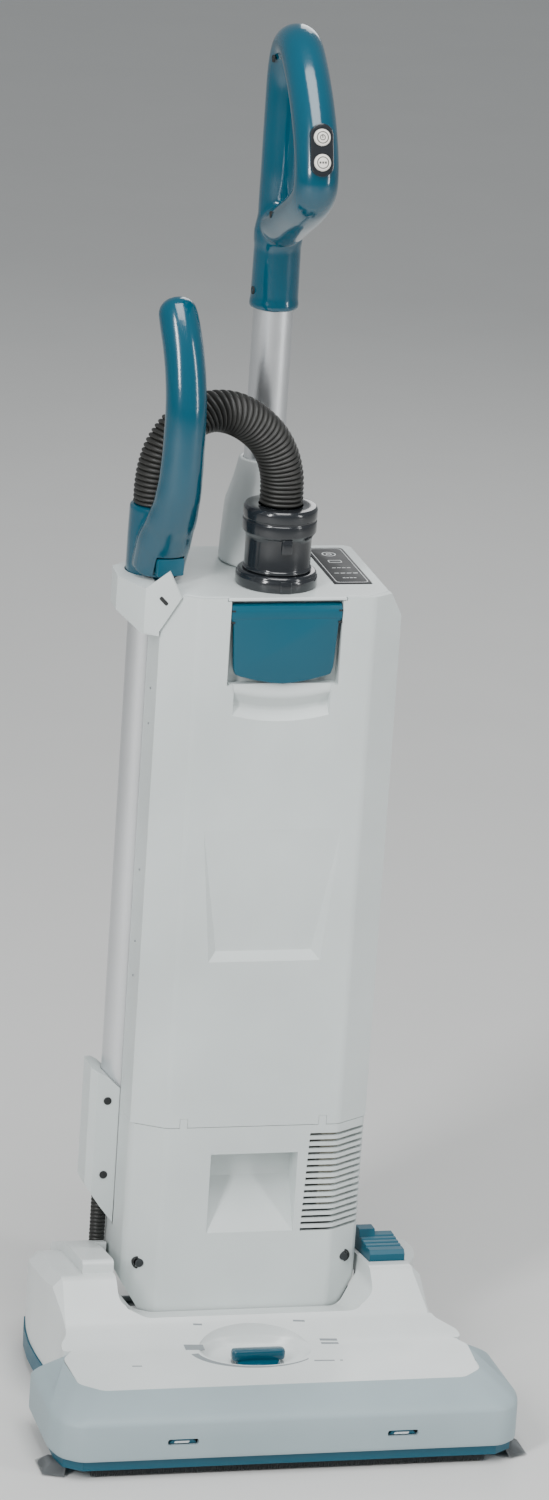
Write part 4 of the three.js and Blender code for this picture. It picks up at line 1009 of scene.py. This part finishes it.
def strands(roots, tips, thick=0.5):
    """Thin tapering bristles from each root to its tip."""
    verts, faces = [], []
    for root, tip in zip(roots, tips):
        start = len(verts)
        for centre, r in ((root, thick), (tip, thick * 0.5)):
            verts += [centre + Vector((r * c, r * s, 0)) for c, s in directions(3)]
        low, high = range(start, start + 3), range(start + 3, start + 6)
        faces += [(low[k], low[(k + 1) % 3], high[(k + 1) % 3], high[k]) for k in range(3)]
        faces += [tuple(low), tuple(high)]
    return mesh_from(verts, faces)


def between(corners, u, v):
    """A point inside four corners."""
    a, b, c, d = [Vector(p) for p in corners]
    return a.lerp(b, u).lerp(d.lerp(c, u), v)


def bristles():
    """The tufts at the head's two front corners and the strip between them."""
    for side, name in SIDES:
        root = [(side * x, y, 7.6) for x, y in ((196, -164), (206, -150), (206, -136), (196, -140))]
        tip = [(side * x, y, 0.8) for x, y in ((199, -170.5), (217.2, -163), (217.2, -130.5), (199, -136))]
        roots, tips, rows, columns = [], [], 26, 14
        for i in range(rows):
            for j in range(columns):
                u = (i + 0.5 + 0.45 * noise(Vector((i, j, side)))) / rows
                v = (j + 0.5 + 0.45 * noise(Vector((i, j, side + 7)))) / columns
                roots.append(between(root, v, u))
                tips.append(between(tip, v, u))
        piece("tuft_" + name, strands(roots, tips), "head", BRISTLE, ["side_brush_" + name])
    roots, tips, count, half = [], [], 440, 175.4
    for i in range(count):
        x = -half + 2 * half * i / (count - 1)
        for y in (-171, -169.5, -168):
            roots.append(Vector((x, y, 7.6)))
            lean = 1.2 * noise(Vector((i * 0.7, y, 0))), -0.6 * abs(noise(Vector((i, y, 3))))
            tips.append(Vector((x + lean[0], y + lean[1], 1.0)))
    piece("front_bristles", strands(roots, tips), "head", BRISTLE_DARK, ["front_strip"])


def brush_roller():
    """The roller's core with two spiral rows of tufts."""
    y, z = -122, 31
    section = rounded([(0.05, -181), (4, -181), (4, -171), (17, -171), (17, 163), (12, 163), (12, 176),
                       (4, 176), (4, 181), (0.05, 181)], 0.6, 2, closed=False)
    piece("roller_core", turned(y, z, section, 48, "x"), "brush", BLACK_MATTE, ["brush_roller"])
    roots, tips, tufts, per_tuft = [], [], 56, 8
    for spiral in (0, pi):
        for i in range(tufts):
            x = -168 + 328 * i / (tufts - 1)
            for j in range(per_tuft + 1):
                t = spiral + tau * i / (tufts - 1) + 0.17 * cos(tau * j / per_tuft)
                dx = 1.8 * sin(tau * j / per_tuft)
                roots.append(Vector((x + dx, y + 16.5 * cos(t), z + 16.5 * sin(t))))
                tips.append(Vector((x + dx * 1.5, y + 25.2 * cos(t), z + 25.2 * sin(t))))
    piece("roller_tufts", strands(roots, tips), "brush", BRISTLE_DARK)


def wheel_size(node):
    """A wheel node's axis (y, z), radius and two ends."""
    low, high = span(node)
    return (low.y + high.y) / 2, (low.z + high.z) / 2, (high.z - low.z) / 2, low.x, high.x


def wheels():
    """Two grooved rear wheels and two plain front rollers."""
    for _, name in SIDES:
        y, z, r, a, b = wheel_size("rear_wheel_" + name)
        tyre = [(5.2, a), (r - 10, a), (r - 9, a + 1.2), (r - 3, a + 1), (r, a + 4)]
        for k in range(3):
            x = a + 4 + (b - a - 8) * (k + 0.5) / 3
            tyre += [(r, x - 0.9), (r - 0.9, x - 0.6), (r - 0.9, x + 0.6), (r, x + 0.9)]
        tyre += [(r, b - 4), (r - 3, b - 1), (r - 9, b - 1.2), (r - 10, b), (5.2, b)]
        wheel = lathe(y, z, tyre, 72, "x")
        piece("wheel_" + name, wheel, "wheel_" + name, WHEEL_GREY, ["rear_wheel_" + name])
        y, z, r, a, b = wheel_size("front_roller_" + name)
        roller = lathe(y, z, rounded(rectangle(2.6, a, r, b), 1.4, 3), 48, "x")
        piece("castor_" + name, roller, "castor_" + name, WHEEL_GREY, ["front_roller_" + name])


def pedal_spring():
    """The coil spring under the pedal."""
    low, high = span("pedal_spring")
    x, y = (low.x + high.x) / 2, (low.y + high.y) / 2
    radius, turns, per_turn, wire_radius = 6.5, 5, 24, 1
    count = turns * per_turn
    points = []
    for i in range(count + 1):
        t = tau * i / per_turn
        rise = min(1.0, max(0.0, (i - per_turn / 2) / (count - per_turn)))
        z = low.z + wire_radius + (high.z - low.z - 2 * wire_radius) * rise
        points.append(Vector((x + radius * cos(t), y + radius * sin(t), z)))
    rings = []
    for i, p in enumerate(points):
        tangent = (points[min(i + 1, count)] - points[max(i - 1, 0)]).normalized()
        out = Vector((p.x - x, p.y - y, 0)).normalized()
        side = tangent.cross(out).normalized()
        rings.append([p + out * c + side * s for c, s in directions(8)])
    mesh = smoothed(skin(rings), 60)
    thing = piece("spring_coil", mesh, "head", STEEL, ["pedal_spring"])
    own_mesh(thing)


def head_internals():
    """The base shell and the working parts of the head."""
    refined("head_base", TEAL_SATIN, 0.6)
    refined("drive_belt", RUBBER, 0.3)
    refined("brush_motor", STEEL, 0.6)
    refined("motor_pulley", STEEL, 0.4)
    refined("rear_axle", STEEL, 0.5)
    for _, name in SIDES:
        refined("roller_bearing_" + name, STEEL, 0.4)
        refined("pivot_pin_" + name, STEEL, 0.6)


# ---------- inside the body
def dust_bag():
    """A partly filled fleece bag with soft corners and shallow folds."""
    low, high = span("dust_bag")
    centre, half = (low + high) / 2, (high - low) / 2
    rings, levels, sides = [], 72, 96
    for i in range(levels + 1):
        v = -1 + 2 * i / levels
        close = (1 - abs(v) ** 7) ** 0.5 if abs(v) < 1 else 0.0
        close = max(close, 0.12)
        ring = []
        for k in range(sides):
            t = tau * k / sides
            c, s = cos(t), sin(t)
            a = copysign(abs(c) ** 0.45, c)
            b = copysign(abs(s) ** 0.6, s)
            p = Vector((centre.x + half.x * 0.95 * a * (0.35 + 0.65 * close),
                        centre.y + half.y * 0.92 * b * close, centre.z + half.z * v * 0.99))
            fold = noise(Vector((p.x * 0.03, p.z * 0.011, p.y * 0.02))) + 0.5 * noise(p * 0.06)
            pull = 1 + 0.045 * fold
            x, y = centre.x + (p.x - centre.x) * pull, centre.y + (p.y - centre.y) * pull
            ring.append(Vector((x, y, p.z)))
        rings.append(ring)
    thing = piece("fleece_bag", smoothed(skin(rings), 80), "upright", FLEECE, ["dust_bag"])


def body_internals():
    """The bag, filters, motor, batteries and board inside the body."""
    dust_bag()
    for node, material in (
        ("bag_collar", PAPER), ("pre_filter", FELT), ("exhaust_filter", PAPER), ("motor_seal", RUBBER),
        ("suction_motor", CASTING), ("impeller", IVORY), ("battery_left", BLACK_MATTE),
        ("battery_right", BLACK_MATTE), ("control_board", BOARD), ("door_pin", STEEL),
    ):
        refined(node, material, 0.5)


# ---------- stage
def stage():
    """A pale floor and soft studio light."""
    floor = in_scene("floor", mesh_from([(x, y, -0.5) for x, y in rectangle(-9000, -9000, 9000, 9000)],
                                        [(0, 1, 2, 3)]))
    floor.data.materials.append(finish("floor_pale", "dcdcda", 0.7, grain=0.1, size=40, uneven=0.01, dust=0))
    world = bpy.data.worlds.new("studio")
    bpy.context.scene.world = world
    world.use_nodes = True
    put(world.node_tree.nodes["Background"], Color=(0.86, 0.9, 0.93, 1), Strength=0.36)

    def lamp(name, at, aim, wide, tall, watts):
        area = bpy.data.lights.new(name, "AREA")
        area.shape, area.size, area.size_y, area.energy = "RECTANGLE", wide, tall, watts
        light = in_scene(name, area)
        light.location = at
        light.rotation_euler = (Vector(aim) - Vector(at)).to_track_quat("-Z", "Y").to_euler()

    # name, place and aim in metres, width, height, watts
    lamp("key", (-2.4, -2.2, 2.3), (0, 0, 0.6), 0.5, 2.4, 105)
    lamp("fill", (2.6, -2.0, 1.6), (0, 0, 0.6), 0.35, 2.4, 40)
    lamp("top", (0, -0.9, 3.2), (0, 0.1, 0.4), 1.6, 1.6, 62)
    lamp("rim", (1.2, 2.6, 2.2), (0, 0, 0.7), 1.0, 2.0, 18)


set_camera()
stretch_hose()
body_shells()
housing_screws()
door_latch()
deck_and_hose_parts()
handle()
wand()
wand_mounts()
duct()
bumper()
head_cover()
pedal_and_knob()
bristles()
brush_roller()
wheels()
pedal_spring()
head_internals()
body_internals()
stage()
